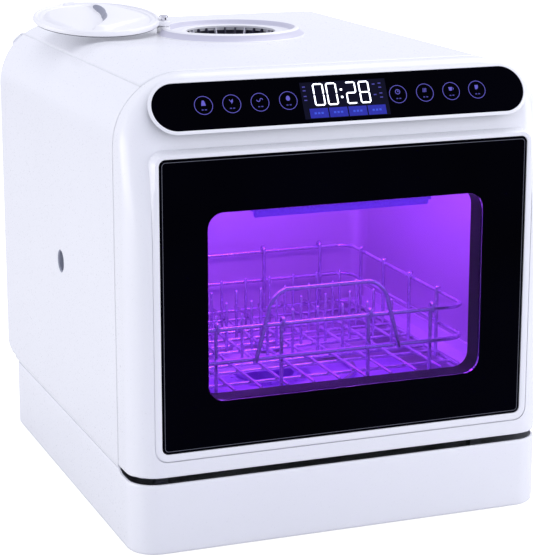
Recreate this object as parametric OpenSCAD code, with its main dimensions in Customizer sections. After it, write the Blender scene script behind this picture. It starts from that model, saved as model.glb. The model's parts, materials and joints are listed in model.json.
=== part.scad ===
// Countertop dishwasher: free-standing housing with a drop-down glass door,
// a sliding dish rack, a fill opening with a swivel lid, and its pumps,
// heater, tank and drying fan. Millimetres, +Z up, the door faces -Y,
// origin at the middle of the footprint on the floor.

/* [Body] */
// Width of the housing
body_w = 420; // [416:1:424]
// Depth of the housing, from the door face to the back
body_d = 487; // [485:1:490]
// Height of the housing without its feet
body_h = 440; // [438:1:442]
// Depth of the base, which is set back under the rear overhang
base_d = 446.4; // [444:0.2:448]
// Height of the base tray at the sides
base_h = 71; // [70:0.5:72]
// Height of the rubber feet
foot_h = 5; // [3:0.5:8]
// Radius of the two long top edges
top_r = 66; // [60:1:70]
// Radius of the two front vertical corners
front_r = 28; // [26:1:28]
// Thickness of the outer panels
skin = 2.5; // [2:0.1:3]

/* [Door] */
// Depth of the door, up to the seam with the side panels
door_d = 50; // [48:0.5:50]
// Height of the door's lower edge above the base
door_z = 74; // [73:0.5:75]
// Height of the hinge line
hinge_z = 80; // [79:0.5:81]
// Distance of the hinge line behind the door face
hinge_y = 8; // [7.5:0.25:8.5]
// Width of the black glass
glass_w = 364.2; // [356:0.2:368]
// Width of the clear window
window_w = 273.9; // [260:0.1:280]

/* [Control strip] */
// Tilt of the control strip from upright
strip_tilt = 28; // [26:0.5:30]
// Width of the strip
strip_w = 367; // [350:1:368]
// Height of the strip along its slope
strip_h = 44.7; // [40:0.1:46]

/* [Rack] */
// Half width of the dish rack
rack_x = 150; // [146:1:150]
// Depth of the dish rack
rack_d = 290; // [260:5:300]
// Radius of the rack wire
wire_r = 2.2; // [1.8:0.1:2.4]
// Number of tines in each row
tines = 9; // [5:1:10]

/* [Fill opening] */
// Radius of the swivel lid
lid_r = 65.5; // [62:0.5:66]
// Rake of the lid's pivot pin
lid_rake = 3.75; // [3:0.25:4]
// Number of ribs in the strainer
strainer_ribs = 28; // [16:2:32]

/* [Hidden] */

$fn = 64;
hw = body_w / 2;
base_top_front = 68;
rear_r = 16;
seam_y = door_d + 1;
split_z = body_h - top_r + top_r * sin(54);
slant_z = 382.9 + body_h - 440;
tub_y = 212;          // middle of the tub, in depth
pump_z = 56;          // height of the wash pump's shaft
fill_x = -7;          // middle of the fill opening, across
fill_y = 298;         // the same, in depth
lip_z = body_h + 8;   // top of the fill collar
pin_d = 69.4;         // lid pivot, from the middle of the opening
pin_a = 159.4;
pin_x = pin_d * cos(pin_a);
pin_y = fill_y + pin_d * sin(pin_a);
pin_z = lip_z + 0.2;
fan_x = 120;
fan_z = 380;

// The model below is drawn from the door face (y = 0) and the underside of
// the base (z = 0). place() moves it to the part's own frame.
module place() translate([0, -body_d / 2, foot_h]) children();

// Extrude a drawing in the XZ plane from y0 to y1
module along_y(y0, y1) translate([0, y1, 0]) rotate([90, 0, 0]) linear_extrude(y1 - y0) children();
// Extrude a drawing in the YZ plane from x0 to x1
module along_x(x0, x1) translate([x0, 0, 0]) rotate([90, 0, 90]) linear_extrude(x1 - x0) children();
// Extrude a drawing in the XY plane from z0 to z1
module along_z(z0, z1) translate([0, 0, z0]) linear_extrude(z1 - z0) children();

module box(x0, x1, y0, y1, z0, z1) translate([x0, y0, z0]) cube([x1 - x0, y1 - y0, z1 - z0]);
module rod_x(x0, x1, y, z, r) translate([x0, y, z]) rotate([0, 90, 0]) cylinder(h = x1 - x0, r = r);
module rod_y(x, y0, y1, z, r) translate([x, y1, z]) rotate([90, 0, 0]) cylinder(h = y1 - y0, r = r);
module rod_z(x, y, z0, z1, r) translate([x, y, z0]) cylinder(h = z1 - z0, r = r);
module tube_z(x, y, z0, z1, r, b) difference() {
    rod_z(x, y, z0, z1, r);
    rod_z(x, y, z0 - 1, z1 + 1, b);
}

// Rectangle with four equal round corners
module rrect(x0, y0, x1, y1, r) {
    translate([x0 + r, y0]) square([x1 - x0 - 2 * r, y1 - y0]);
    translate([x0, y0 + r]) square([x1 - x0, y1 - y0 - 2 * r]);
    for (x = [x0 + r, x1 - r], y = [y0 + r, y1 - r]) translate([x, y]) circle(r);
}

// Outline seen from the front, drawn in by i
module front_outline(i) {
    translate([-hw + i, -20]) square([2 * (hw - i), body_h - top_r + 20]);
    translate([-hw + top_r, -20]) square([2 * (hw - top_r), body_h - i + 20]);
    for (s = [-1, 1]) translate([s * (hw - top_r), body_h - top_r]) circle(top_r - i);
}

// Outline seen from above, drawn in by i, to a depth of d and wider by e
module plan_outline(i, d, e = 0) {
    w = hw + e - i;
    translate([-w, front_r]) square([2 * w, d - front_r - rear_r]);
    translate([-w + front_r - i, i]) square([2 * (w + i - front_r), d / 2]);
    translate([-w + rear_r - i, d / 2]) square([2 * (w + i - rear_r), d / 2 - i]);
    for (s = [-1, 1]) {
        translate([s * (w + i - front_r), front_r]) circle(front_r - i);
        translate([s * (w + i - rear_r), d - rear_r]) circle(rear_r - i);
    }
}

// Outline seen from the side, drawn in by i: sloping control face in front,
// overhang with a round lower edge at the back
module side_outline(i) difference() {
    polygon([
        [i, -20], [i, slant_z - i * tan(strip_tilt / 2)],
        [(body_h - slant_z) * tan(strip_tilt) + i * tan(45 - strip_tilt / 2), body_h - i],
        [body_d - i, body_h - i], [body_d - i, door_z + i],
        [base_d - i, door_z + i], [base_d - i, -20]
    ]);
    difference() {
        translate([body_d - 30, door_z - 5]) square([35, 35]);
        translate([body_d - 30, door_z + 30]) circle(30 - i);
    }
}

// The whole outer form, drawn in by i
module form(i) intersection() {
    along_y(-5, body_d + 5) front_outline(i);
    // a hair wider than the front outline, which cuts it to the true width
    along_z(-10, body_h + 10) plan_outline(i, body_d, 0.03);
    along_x(-hw - 5, hw + 5) side_outline(i);
}

module skin_shell() difference() {
    form(0);
    form(skin);
}

// ---------------------------------------------------------------- base

module base_tray() color("whitesmoke") place() difference() {
    along_z(0, base_h) plan_outline(0, base_d);
    along_z(3, base_h + 1) plan_outline(3, base_d);
    box(-hw - 1, hw + 1, -1, seam_y, base_top_front, base_h + 1);
    rod_y(-70, base_d - 6, base_d + 1, 52, 8);
    rod_y(-150, base_d - 6, base_d + 1, 45, 10);
    rod_y(150, base_d - 6, base_d + 1, 45, 9);
}

module rubber_feet() color("dimgray") place()
    for (x = [-165, 165], y = [60, 395]) {
        rod_z(x, y, -foot_h, -1, 13);
        rod_z(x, y, -1, 0, 11);
    }

// ---------------------------------------------------------------- outer panels

module side_panel(s) intersection() {
    difference() {
        skin_shell();
        box(-192, 192, body_d - skin - 0.5, body_d + 1, 0, body_h);
        box(-192, 192, base_d - skin - 1, body_d + 1, 0, door_z + 32);
        if (s < 0) rod_x(-hw - 1, -hw + 6, 238.7, 228.5, 13);
    }
    box(s < 0 ? -hw - 1 : 170, s < 0 ? -170 : hw + 1, seam_y, body_d + 1, base_h, split_z);
}
module side_panel_left() color("whitesmoke") place() side_panel(-1);
module side_panel_right() color("whitesmoke") place() side_panel(1);

module top_cover() color("white") place() difference() {
    intersection() {
        skin_shell();
        box(-hw - 1, hw + 1, seam_y, body_d + 1, split_z, body_h + 1);
    }
    rod_z(fill_x, fill_y, body_h - 5, body_h + 1, 54.3);
}

module back_panel() color("whitesmoke") place() difference() {
    intersection() {
        skin_shell();
        union() {
            box(-192, 192, body_d - skin - 0.5, body_d + 1, door_z + 32, split_z);
            box(-192, 192, base_d - skin, body_d + 1, door_z, door_z + 32);
        }
    }
    rod_y(fan_x, body_d - 5, body_d + 1, fan_z, 40);
    for (x = [-182, 182], z = [125, 225, 325, 412]) rod_y(x, body_d - 5, body_d + 1, z, 3.5);
}

module back_screws() color("silver") place()
    for (x = [-182, 182], z = [125, 225, 325, 412]) difference() {
        union() {
            rod_y(x, body_d - 2.3, body_d - 0.1, z, 3.5);
            rod_y(x, body_d - 9, body_d - 2.3, z, 1.7);
        }
        box(x - 2, x + 2, body_d - 0.9, body_d + 1, z - 0.4, z + 0.4);
        box(x - 0.4, x + 0.4, body_d - 0.9, body_d + 1, z - 2, z + 2);
    }

module back_grille() color("gray") place() {
    difference() {
        rod_y(fan_x, body_d - 4, body_d - 0.2, fan_z, 40);
        rod_y(fan_x, body_d - 5, body_d + 1, fan_z, 36);
    }
    rod_y(fan_x, body_d - 3, body_d - 0.8, fan_z, 9);
    for (a = [0:45:179]) translate([fan_x, body_d - 2, fan_z]) rotate([0, a, 0])
        cube([75, 2, 1.6], center = true);
    for (r = [15, 22, 29]) difference() {
        rod_y(fan_x, body_d - 2.8, body_d - 1.2, fan_z, r + 0.8);
        rod_y(fan_x, body_d - 4, body_d, fan_z, r - 0.8);
    }
}

module side_port() color("gray") place() {
    difference() {
        rod_x(-hw + 0.1, -hw + 5, 238.7, 228.5, 13);
        rod_x(-hw - 1, -hw + 3.5, 238.7, 228.5, 10);
        for (y = [-6, -2, 2, 6]) box(-hw - 1, -hw + 6, 238.7 + y - 0.9, 238.7 + y + 0.9, 221.5, 235.5);
    }
}

// ---------------------------------------------------------------- front of the tub

module front_frame() color("gainsboro") place() difference() {
    intersection() {
        form(3);
        box(-hw, hw, 52, 54.5, 88, split_z);
    }
    along_y(51, 56) rrect(-172, 99, 172, 331, 18);
    box(-9, 9, 51, 56, 352, 378);
}

module gap_strip() color("dimgray") place() difference() {
    box(-200, 200, 53, 55, base_h, 88);
    for (s = [-1, 1]) box(s * 165 - 8, s * 165 + 8, 50, 60, base_h - 1, 85.5);
}

module hinge_arms() color("silver") place() for (s = [-1, 1]) difference() {
    union() {
        rod_x(s * 165 - 6, s * 165 + 6, hinge_y, hinge_z, 4.8);
        box(s * 165 - 6, s * 165 + 6, hinge_y, 66, hinge_z - 4, hinge_z + 4);
        box(s * 165 - 6, s * 165 + 6, 57, 66, 3, hinge_z);
    }
    rod_x(s * 165 - 7, s * 165 + 7, hinge_y, hinge_z, 3.05);
}

module tub_gasket() color("gray") place() difference() {
    along_y(50.4, 52) rrect(-181, 90, 181, 340, 24);
    along_y(50, 53) rrect(-174, 97, 174, 333, 17);
}

module tub() color("silver") place() difference() {
    along_y(54.5, 372) rrect(-178, 95, 178, 335, 22);
    along_y(54, 370.5) rrect(-176.5, 96.5, 176.5, 333.5, 20.5);
    rod_z(0, tub_y, 90, 100, 46);
    for (s = [-1, 1]) rod_z(s * 10, tub_y + 90, 90, 100, 4.2);
    box(100, 140, 320, 355, 330, 340);
}

module rack_rails() color("lightgray") place() for (s = [-1, 1]) {
    x0 = s < 0 ? -176.5 : 146;
    box(x0, x0 + 30.5, 60, 360, 126.2, 128.7);
    box(s < 0 ? -176.5 : 174, s < 0 ? -174 : 176.5, 60, 360, 128.7, 140);
}

// ---------------------------------------------------------------- water under the tub

module sump() color("lightgray") place() difference() {
    union() {
        rod_z(0, tub_y, 30, 95, 48);
        rod_z(0, tub_y, 93, 95, 60);
        rod_x(40, 58, tub_y, pump_z, 12);
        rod_x(-60, -40, tub_y, 42, 8);
        rod_y(-20, tub_y + 30, 262, 70, 7);
    }
    rod_z(0, tub_y, 32.5, 93, 45.5);
    rod_z(0, tub_y, 92, 96, 42);
    rod_z(0, tub_y, 29, 33, 9);
    rod_x(35, 59, tub_y, pump_z, 10);
    rod_x(-61, -35, tub_y, 42, 6);
    rod_y(-20, tub_y + 25, 263, 70, 5);
}

module filter_plate() color("silver") place() difference() {
    rod_z(0, tub_y, 95, 96.5, 45.8);
    rod_z(0, tub_y, 94, 98, 30);
    for (a = [0:15:359]) translate([0, tub_y, 0]) rotate([0, 0, a])
        for (r = [33.5, 38.5]) rod_z(r, 0, 94, 98, 1.6);
}

module filter_cup() color("lightgray") place() difference() {
    union() {
        rod_z(0, tub_y, 34, 96.5, 29.5);
        rod_z(0, tub_y, 96.5, 98, 32);
    }
    rod_z(0, tub_y, 35.5, 99, 28);
    rod_z(0, tub_y, 33, 36, 10);
    for (a = [0:22.5:359]) translate([0, tub_y, 0]) rotate([0, 0, a])
        for (z = [42, 62]) box(25, 32, -1.5, 1.5, z, z + 15);
}

module spray_hub() color("lightgray") place() difference() {
    union() {
        rod_z(0, tub_y, 26, 126.5, 9);
        rod_z(0, tub_y, 101, 105.5, 13);
    }
    rod_z(0, tub_y, 25, 121, 6.5);
    for (a = [0:60:359]) translate([0, tub_y, 114]) rotate([0, 0, a]) rod_x(5, 10, 0, 0, 2.4);
}

module hub_nut() color("gray") place() difference() {
    rod_z(0, tub_y, 122.4, 126.4, 14);
    rod_z(0, tub_y, 122, 127, 9);
}

module spray_arm() color("lightgray") place() translate([0, tub_y, 0]) difference() {
    union() {
        rod_z(0, 0, 105.8, 122.1, 17);
        for (s = [0, 180]) rotate([0, 0, s + 18]) {
            along_z(109, 119) polygon([[0, -15.5], [0, 15.5], [134, 9.5], [134, -9.5]]);
            rod_z(133, 0, 109, 119, 12);
        }
    }
    rod_z(0, 0, 105, 123, 9.05);
    for (s = [0, 180]) rotate([0, 0, s + 18]) {
        for (r = [40, 65, 88, 109, 127]) rod_z(r, (r % 2 == 0 ? 3 : -3), 113, 120, 1.6);
        along_z(111, 117) polygon([[12, -12.5], [12, 12.5], [132, 7.5], [132, -7.5]]);
    }
}

module heater() color("dimgray") place() translate([0, tub_y, 0]) {
    translate([0, 0, 101.2]) rotate([0, 0, 96]) rotate_extrude(angle = 348) translate([90, 0]) circle(3.6);
    for (s = [-1, 1]) rotate([0, 0, 90 - s * 6]) {
        rod_z(90, 0, 84, 101.2, 3.2);
        translate([90, 0, 101.2]) sphere(4.3);
    }
}

module pump_housing() color("dimgray") place() difference() {
    union() {
        rod_x(58, 90, tub_y, pump_z, 34);
        rod_z(74, tub_y, 21, 50, 8);
    }
    rod_x(61, 87, tub_y, pump_z, 31);
    rod_x(57, 62, tub_y, pump_z, 10);
    rod_x(86, 91, tub_y, pump_z, 4.05);
    rod_z(74, tub_y, 20, 50, 5);
}

module wash_motor() color("slategray") place() difference() {
    union() {
        rod_x(90, 96, tub_y, pump_z, 30);
        rod_x(96, 150, tub_y, pump_z, 27);
        rod_x(150, 156, tub_y, pump_z, 12);
        box(100, 146, tub_y - 14, tub_y + 14, pump_z + 20, pump_z + 34);
    }
    rod_x(89, 112, tub_y, pump_z, 4.05);
    for (a = [0:30:359]) translate([0, tub_y, pump_z]) rotate([a, 0, 0]) box(99, 147, -1.2, 1.2, 25.6, 28);
}

module impeller() color("lightgray") place() translate([0, tub_y, pump_z]) {
    rod_x(66, 110, 0, 0, 4);
    rod_x(66, 84, 0, 0, 9);
    rod_x(73, 76, 0, 0, 26);
    for (a = [0:60:359]) rotate([a, 0, 0]) box(64, 74, -1.2, 1.2, 7, 26);
}

module delivery_pipe() color("gray") place() difference() {
    union() {
        rod_x(0, 74, tub_y, 14, 6.2);
        rod_z(0, tub_y, 7, 26, 9);
        rod_z(74, tub_y, 7, 21, 8);
    }
    rod_x(0, 73, tub_y, 14, 4.2);
    rod_z(0, tub_y, 14, 27, 6.5);
    rod_z(74, tub_y, 14, 22, 5);
}

module drain_pump() color("dimgray") place() difference() {
    union() {
        rod_x(-82, -60, tub_y, 42, 22);
        rod_x(-125, -82, tub_y, 42, 17);
        rod_y(-70, tub_y, 245, 52, 10);
    }
    rod_x(-78, -59, tub_y, 42, 6);
    rod_y(-70, tub_y + 3, 246, 52, 7);
}

module drain_hose() color("dimgray") place() difference() {
    union() {
        rod_y(-70, 245, 424, 52, 10);
        for (y = [252:9:418]) rod_y(-70, y, y + 4, 52, 11.4);
    }
    rod_y(-70, 244, 425, 52, 7);
}

module drain_spigot() color("gray") place() difference() {
    union() {
        rod_y(-70, 424, base_d, 52, 8);
        rod_y(-70, base_d, base_d + 3, 52, 14);
        rod_y(-70, base_d + 3, base_d + 28, 52, 8);
    }
    rod_y(-70, 420, base_d + 30, 52, 5.5);
}

module inlet_valve() color("lightgray") place() {
    difference() {
        box(-166, -134, 404, 438, 30, 62);
        rod_y(-150, 420, 440, 45, 6);
        rod_z(-150, 421, 45, 64, 5);
    }
    rod_x(-134, -118, 421, 46, 11);
}

module inlet_hose() color("gray") place() tube_z(-150, 421, 62, 90, 8, 5);

module inlet_nipple() color("silver") place() difference() {
    union() {
        rod_y(-150, 438, base_d, 45, 10);
        rod_y(-150, base_d, base_d + 3, 45, 17);
        rod_y(-150, base_d + 3, base_d + 17, 45, 13.2);
    }
    rod_y(-150, 430, base_d + 20, 45, 6);
}

module water_tank() color("aliceblue") place() difference() {
    along_z(90, 425) rrect(-170, 382, 68, 476, 10);
    along_z(92.5, 422.5) rrect(-167.5, 384.5, 65.5, 473.5, 7.5);
    box(-26, 26, 380, 386, 390, 408);
    rod_z(-150, 421, 89, 93, 5);
    rod_z(-20, 421, 89, 93, 5);
}

module feed_hose() color("gray") place() difference() {
    union() {
        rod_z(-20, 421, 70, 90, 7);
        translate([-20, 421, 70]) sphere(7);
        rod_y(-20, 262, 421, 70, 7);
    }
    rod_z(-20, 421, 70, 91, 5);
    rod_y(-20, 261, 421, 70, 5);
    translate([-20, 421, 70]) sphere(5);
}

// ---------------------------------------------------------------- fill opening

module fill_funnel() color("gainsboro") place() difference() {
    union() {
        rod_z(fill_x, fill_y, 385, body_h - skin, 57);
        box(-29, 29, fill_y + 45, 382, 386, 412);
    }
    rod_z(fill_x, fill_y, 388, body_h, 54.2);
    box(-26, 26, fill_y + 40, 383, 390, 408);
}

// Move a piece drawn about x = 0 to the middle of the fill opening
module at_fill() translate([fill_x, 0, 0]) children();

// Place a piece along the raked pivot pin of the lid
module on_pin() translate([pin_x, pin_y, pin_z]) rotate([lid_rake, 0, 0]) children();

module fill_collar() color("white") place() at_fill() difference() {
    union() {
        translate([0, fill_y, 0]) rotate_extrude() polygon([
            [51, 430], [54, 430], [54, body_h], [77, body_h], [76.4, body_h + 1.4],
            [70.2, lip_z - 0.8], [69, lip_z], [63, lip_z], [62, lip_z - 5.5], [51, lip_z - 5.5]
        ]);
        intersection() {
            on_pin() translate([0, 0, -20]) cylinder(h = 20, r = 7);
            box(pin_x - 20, pin_x + 20, pin_y - 20, pin_y + 20, body_h, 460);
        }
    }
    rod_z(0, fill_y, 420, 460, 51);
    on_pin() translate([0, 0, -6]) cylinder(h = 10, r = 3);
}

module fill_strainer() color("gray") place() at_fill() translate([0, fill_y, 0]) difference() {
    union() {
        tube_z(0, 0, lip_z - 5.5, lip_z - 4.1, 54, 46);
        tube_z(0, 0, lip_z - 9.5, lip_z - 5.5, 50.6, 48);
        for (k = [0:strainer_ribs - 1]) rotate([90, 0, k * 360 / strainer_ribs]) translate([0, 0, -0.9])
            linear_extrude(1.8) polygon([[49, lip_z - 5.5], [46.5, lip_z - 5.5], [28, 412], [28, 408], [31, 408]]);
        tube_z(0, 0, 408, 412, 31, 27);
        rod_z(0, 0, 408, 409.6, 28);
    }
    for (r = [7, 14, 21], a = [0:30:359]) rotate([0, 0, a + r]) rod_z(r, 0, 400, 414, 1.5);
}

module lid_pivot_pin() color("silver") place() at_fill() on_pin() {
    translate([0, 0, -6]) cylinder(h = 15.3, r = 3);
    translate([0, 0, 9.3]) cylinder(h = 2, r = 5);
}

// Swing a closed lid half a turn about the raked pin to where it rests open
module lid_open() translate([pin_x, pin_y, pin_z]) rotate([lid_rake, 0, 0]) rotate([0, 0, 180])
    rotate([-lid_rake, 0, 0]) translate([-pin_x, -pin_y, -pin_z]) children();

module fill_lid() color("white") place() at_fill() lid_open() difference() {
    union() {
        translate([0, fill_y, 0]) rotate_extrude() polygon([
            [0, lip_z + 1.6], [64.6, lip_z + 1.6], [lid_r, lip_z + 2.6], [lid_r, lip_z + 6.4],
            [64.4, lip_z + 7.6], [61.5, lip_z + 7.6], [60, lip_z + 5.6], [54, lip_z + 5.2],
            [50, lip_z + 4.2], [0, lip_z + 4.2]
        ]);
        // grip that bends like an S across the dish
        intersection() {
            rod_z(0, fill_y, lip_z + 3, lip_z + 12, 48);
            union() {
                difference() {
                    rod_z(24, fill_y, lip_z + 3, lip_z + 11, 27);
                    rod_z(24, fill_y, lip_z + 2, lip_z + 13, 19);
                    box(-10, 60, fill_y - 60, fill_y, lip_z + 2, lip_z + 13);
                }
                difference() {
                    rod_z(-24, fill_y, lip_z + 3, lip_z + 11, 27);
                    rod_z(-24, fill_y, lip_z + 2, lip_z + 13, 19);
                    box(-60, 10, fill_y, fill_y + 60, lip_z + 2, lip_z + 13);
                }
            }
        }
        intersection() {
            on_pin() translate([0, 0, 0.4]) cylinder(h = 8.4, r = 7);
            box(pin_x - 20, pin_x + 20, pin_y - 20, pin_y + 20, lip_z, lip_z + 12);
        }
        translate([0, fill_y, 0]) rotate([0, 0, pin_a]) box(58, 68, -6, 6, lip_z + 1.6, lip_z + 6.4);
    }
    on_pin() translate([0, 0, -4]) cylinder(h = 20, r = 3.05);
}

module lid_seal() color("gray") place() at_fill() lid_open() translate([0, fill_y, 0])
    difference() {
        rod_z(0, 0, lip_z + 0.5, lip_z + 1.6, 63.6);
        rod_z(0, 0, lip_z, lip_z + 2, 58.6);
        on_pin_free();
    }
module on_pin_free() translate([pin_x, pin_y - fill_y, lip_z]) cylinder(h = 4, r = 7.5);

// ---------------------------------------------------------------- drying air

module vent_duct() color("gainsboro") place() difference() {
    union() {
        box(95, 145, 315, 360, 335, 405);
        box(95, 145, 359, 440, 355, 405);
    }
    box(97, 143, 317, 358, 334, 403);
    box(97, 143, 357, 441, 357, 403);
}

module fan_housing() color("dimgray") place() difference() {
    along_y(440, 478) rrect(75, 335, 165, 425, 8);
    difference() {
        rod_y(fan_x, 439, 479, fan_z, 39);
        rod_y(fan_x, 470, 480, fan_z, 10);
        for (a = [30:60:179]) translate([fan_x, 476.5, fan_z]) rotate([0, a, 0]) cube([84, 7, 4], center = true);
    }
    rod_y(fan_x, 469, 479, fan_z, 2.55);
}

module fan_rotor() color("gray") place() translate([fan_x, 0, fan_z]) {
    rod_y(0, 448, 468, 0, 13);
    rod_y(0, 448, 477, 0, 2.5);
    for (a = [0:360 / 7:359]) rotate([0, a, 0]) translate([11, 458, 0]) rotate([35, 0, 0])
        translate([0, -8, -1]) cube([25.5, 16, 2]);
}

// ---------------------------------------------------------------- electrics

module main_board() color("darkgreen") place() {
    box(95, 185, 310, 425, 12, 13.6);
    for (x = [100, 180], y = [315, 420]) rod_z(x, y, 3, 12, 3);
    box(105, 135, 320, 350, 13.6, 40);
    box(145, 175, 322, 340, 13.6, 32);
    for (x = [110, 128, 146, 164]) rod_z(x, 372, 13.6, 36, 7);
    box(105, 175, 395, 412, 13.6, 26);
}

module cord_inlet() color("dimgray") place() difference() {
    union() {
        rod_y(150, base_d - 12, base_d, 45, 9);
        rod_y(150, base_d, base_d + 3, 45, 14);
        rod_y(150, base_d + 3, base_d + 14, 45, 10);
    }
    rod_y(150, base_d - 20, base_d + 20, 45, 4);
}

module latch_housing() color("gray") place() difference() {
    box(-22, 22, 54.5, 86, 344, 386);
    box(-10, 10, 54, 80, 351, 379);
}

// ---------------------------------------------------------------- door

// Side outline of the door, drawn in by i, with its round lower rear edge
module door_side(i, rear) {
    translate([i, door_z + 14]) square([rear - i, body_h - door_z]);
    translate([i, door_z + i]) square([door_d - 14 - i, 60]);
    translate([door_d - 14, door_z + 14]) circle(14 - i);
}
module door_form(i, rear) intersection() {
    form(i);
    along_x(-hw - 5, hw + 5) door_side(i, rear);
}

// Plane of the sloping control face: x across, y up the slope, z outward
module on_slant() translate([0, 15.9, slant_z + 15.9 / tan(strip_tilt)]) rotate([90 - strip_tilt, 0, 0]) children();
module stadium(w, h) {
    square([w - h, h], center = true);
    for (s = [-1, 1]) translate([s * (w - h) / 2, 0]) circle(h / 2);
}

module door_frame() color("whitesmoke") place() difference() {
    union() {
        difference() {
            door_form(0, door_d);
            door_form(3, door_d + 5);
        }
        // ledge behind the glass
        difference() {
            along_y(2, 7) rrect(-190, 89, 190, 377, 12);
            along_y(1, 8) rrect(-176, 103, 176, 363, 8);
        }
        // cheeks that hold the hinge pins
        for (s = [-1, 1], k = [-1, 1]) box(s * 165 + k * 11 - 4, s * 165 + k * 11 + 4, 2, 17, door_z + 2, hinge_z + 10);
    }
    along_y(-1, 4.3) rrect(-glass_w / 2 - 0.2, 96.4, glass_w / 2 + 0.2, 369.2, 6);
    on_slant() translate([0, 0, -2.2]) linear_extrude(4) stadium(strip_w + 0.3, strip_h + 0.3);
    on_slant() translate([0, 0, -8]) linear_extrude(9) stadium(strip_w - 6, strip_h - 8);
    for (s = [-1, 1]) {
        box(s * 165 - 8, s * 165 + 8, 2.4, door_d + 1, door_z - 1, hinge_z + 14);
        rod_x(s * 165 - 16, s * 165 + 16, hinge_y, hinge_z, 3);
    }
}

module door_glass() color([0.03, 0.03, 0.06]) place() difference() {
    along_y(0.8, 4.3) rrect(-glass_w / 2, 96.6, glass_w / 2, 369, 5.8);
    along_y(0, 5) rrect(-window_w / 2, 142.3, window_w / 2, 318.1, 15);
}

module window_pane() color([0.5, 0.3, 0.9, 0.4]) place()
    along_y(0.8, 4.3) rrect(-window_w / 2, 142.3, window_w / 2, 318.1, 15);

module window_surround() color([0.05, 0.04, 0.08]) place() difference() {
    along_y(4.3, 26) rrect(-window_w / 2 - 4, 138.3, window_w / 2 + 4, 322.1, 19);
    along_y(4, 27) rrect(-window_w / 2, 142.3, window_w / 2, 318.1, 15);
}

module inner_pane() color([0.6, 0.5, 0.9, 0.4]) place()
    along_y(26, 28.5) rrect(-window_w / 2 - 4, 138.3, window_w / 2 + 4, 322.1, 19);

module door_liner() color("gainsboro") place() difference() {
    union() {
        intersection() {
            form(3);
            box(-hw, hw, door_d - 2.5, door_d, 88, body_h - 5);
        }
        along_y(26, door_d) rrect(-174, 95, 174, 335, 20);
    }
    along_y(28.5, door_d + 1) rrect(-172, 97, 172, 333, 18);
    along_y(20, 30) rrect(-window_w / 2 - 4, 138.3, window_w / 2 + 4, 322.1, 19);
    for (s = [-1, 1]) box(s * 165 - 8, s * 165 + 8, 20, door_d + 1, 80, 94.5);
}

module lamp_bar() color("darkviolet") place() {
    box(-88, 88, 12, 24, 313, 318.1);
    along_x(-86, 86) translate([18, 312]) circle(4.5);
}

module control_lens() color([0.02, 0.02, 0.03]) place() on_slant()
    translate([0, 0, -2.2]) linear_extrude(2.2) stadium(strip_w, strip_h);

module display_board() color("darkgreen") place() on_slant() {
    translate([-165, -16, -11]) cube([330, 32, 1.6]);
    translate([-40, -14, -9.4]) cube([84, 28, 6]);
    for (x = [-135.2, -108.5, -81.6, -54.3, 54.3, 81.6, 108.5, 135.2]) translate([x, 0, -9.4]) cylinder(h = 6, r = 6);
}

module latch_hook() color("gray") place() {
    box(-12, 12, door_d, door_d + 0.3, 350, 378);
    box(-5, 5, door_d, 68, 357, 363);
    along_x(-5, 5) polygon([[62, 363], [68, 363], [64, 367], [62, 367]]);
}

module hinge_pins() color("silver") place()
    for (s = [-1, 1]) rod_x(s * 165 - 15, s * 165 + 15, hinge_y, hinge_z, 3);

// ---------------------------------------------------------------- rack

rack_y = 52.2;                  // middle of the front wires
rack_floor = 131.2;
rack_low = 163;
rack_high = 195;
corner_r = 18;

// Wire loop with round corners at height z
module loop_wire(z, r) {
    x = rack_x - 2.2;
    y1 = rack_y + rack_d;
    for (s = [-1, 1]) {
        rod_y(s * x, rack_y + corner_r, y1 - corner_r, z, r);
        translate([s * (x - corner_r), rack_y + corner_r, z]) rotate([0, 0, s < 0 ? 180 : 270])
            rotate_extrude(angle = 90) translate([corner_r, 0]) circle(r);
        translate([s * (x - corner_r), y1 - corner_r, z]) rotate([0, 0, s < 0 ? 90 : 0])
            rotate_extrude(angle = 90) translate([corner_r, 0]) circle(r);
    }
    rod_x(-x + corner_r, x - corner_r, rack_y, z, r);
    rod_x(-x + corner_r, x - corner_r, y1, z, r);
}

// Middle of the grid's cross wires, and of the long wires that lie on them
grid_low = rack_floor + 0.4;
grid_high = grid_low + 3.42;

module rack_basket() color("lavender") place() {
    for (z = [rack_floor, rack_low, rack_high]) loop_wire(z, wire_r);
    // upright wires inside the three loops
    for (x = [-111, -45, 45, 111]) {
        rod_z(x, rack_y + wire_r + 1.92, rack_floor - 1.6, rack_high + 3, 1.9);
        rod_z(x, rack_y + rack_d - wire_r - 1.92, rack_floor - 1.6, rack_high + 3, 1.9);
    }
    for (s = [-1, 1], y = [110, 175, 240, 300])
        rod_z(s * (rack_x - 2.2 - wire_r - 1.92), y, rack_floor - 1.6, rack_high + 3, 1.9);
}

module rack_tines() color("lavender") place() {
    // floor grid: cross wires between the side loops, long wires on top
    for (y = [80, 118, 158, 208, 258, 305]) rod_x(-rack_x + 7.2, rack_x - 7.2, y, grid_low, 1.8);
    for (k = [0:9]) rod_y(-121.5 + k * 27, rack_y - 1, rack_y + rack_d + 1, grid_high, 1.6);
    // four rows of tines on cross wires of their own
    for (y = [140, 185, 230, 275]) rod_x(-rack_x + 7.2, rack_x - 7.2, y, grid_low, 1.8);
    for (y = [140, 185, 230, 275], k = [0:tines - 1])
        rod_z(-108 + k * 216 / (tines - 1), y, grid_low + 1.82, rack_floor + 52, 1.5);
}

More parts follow.
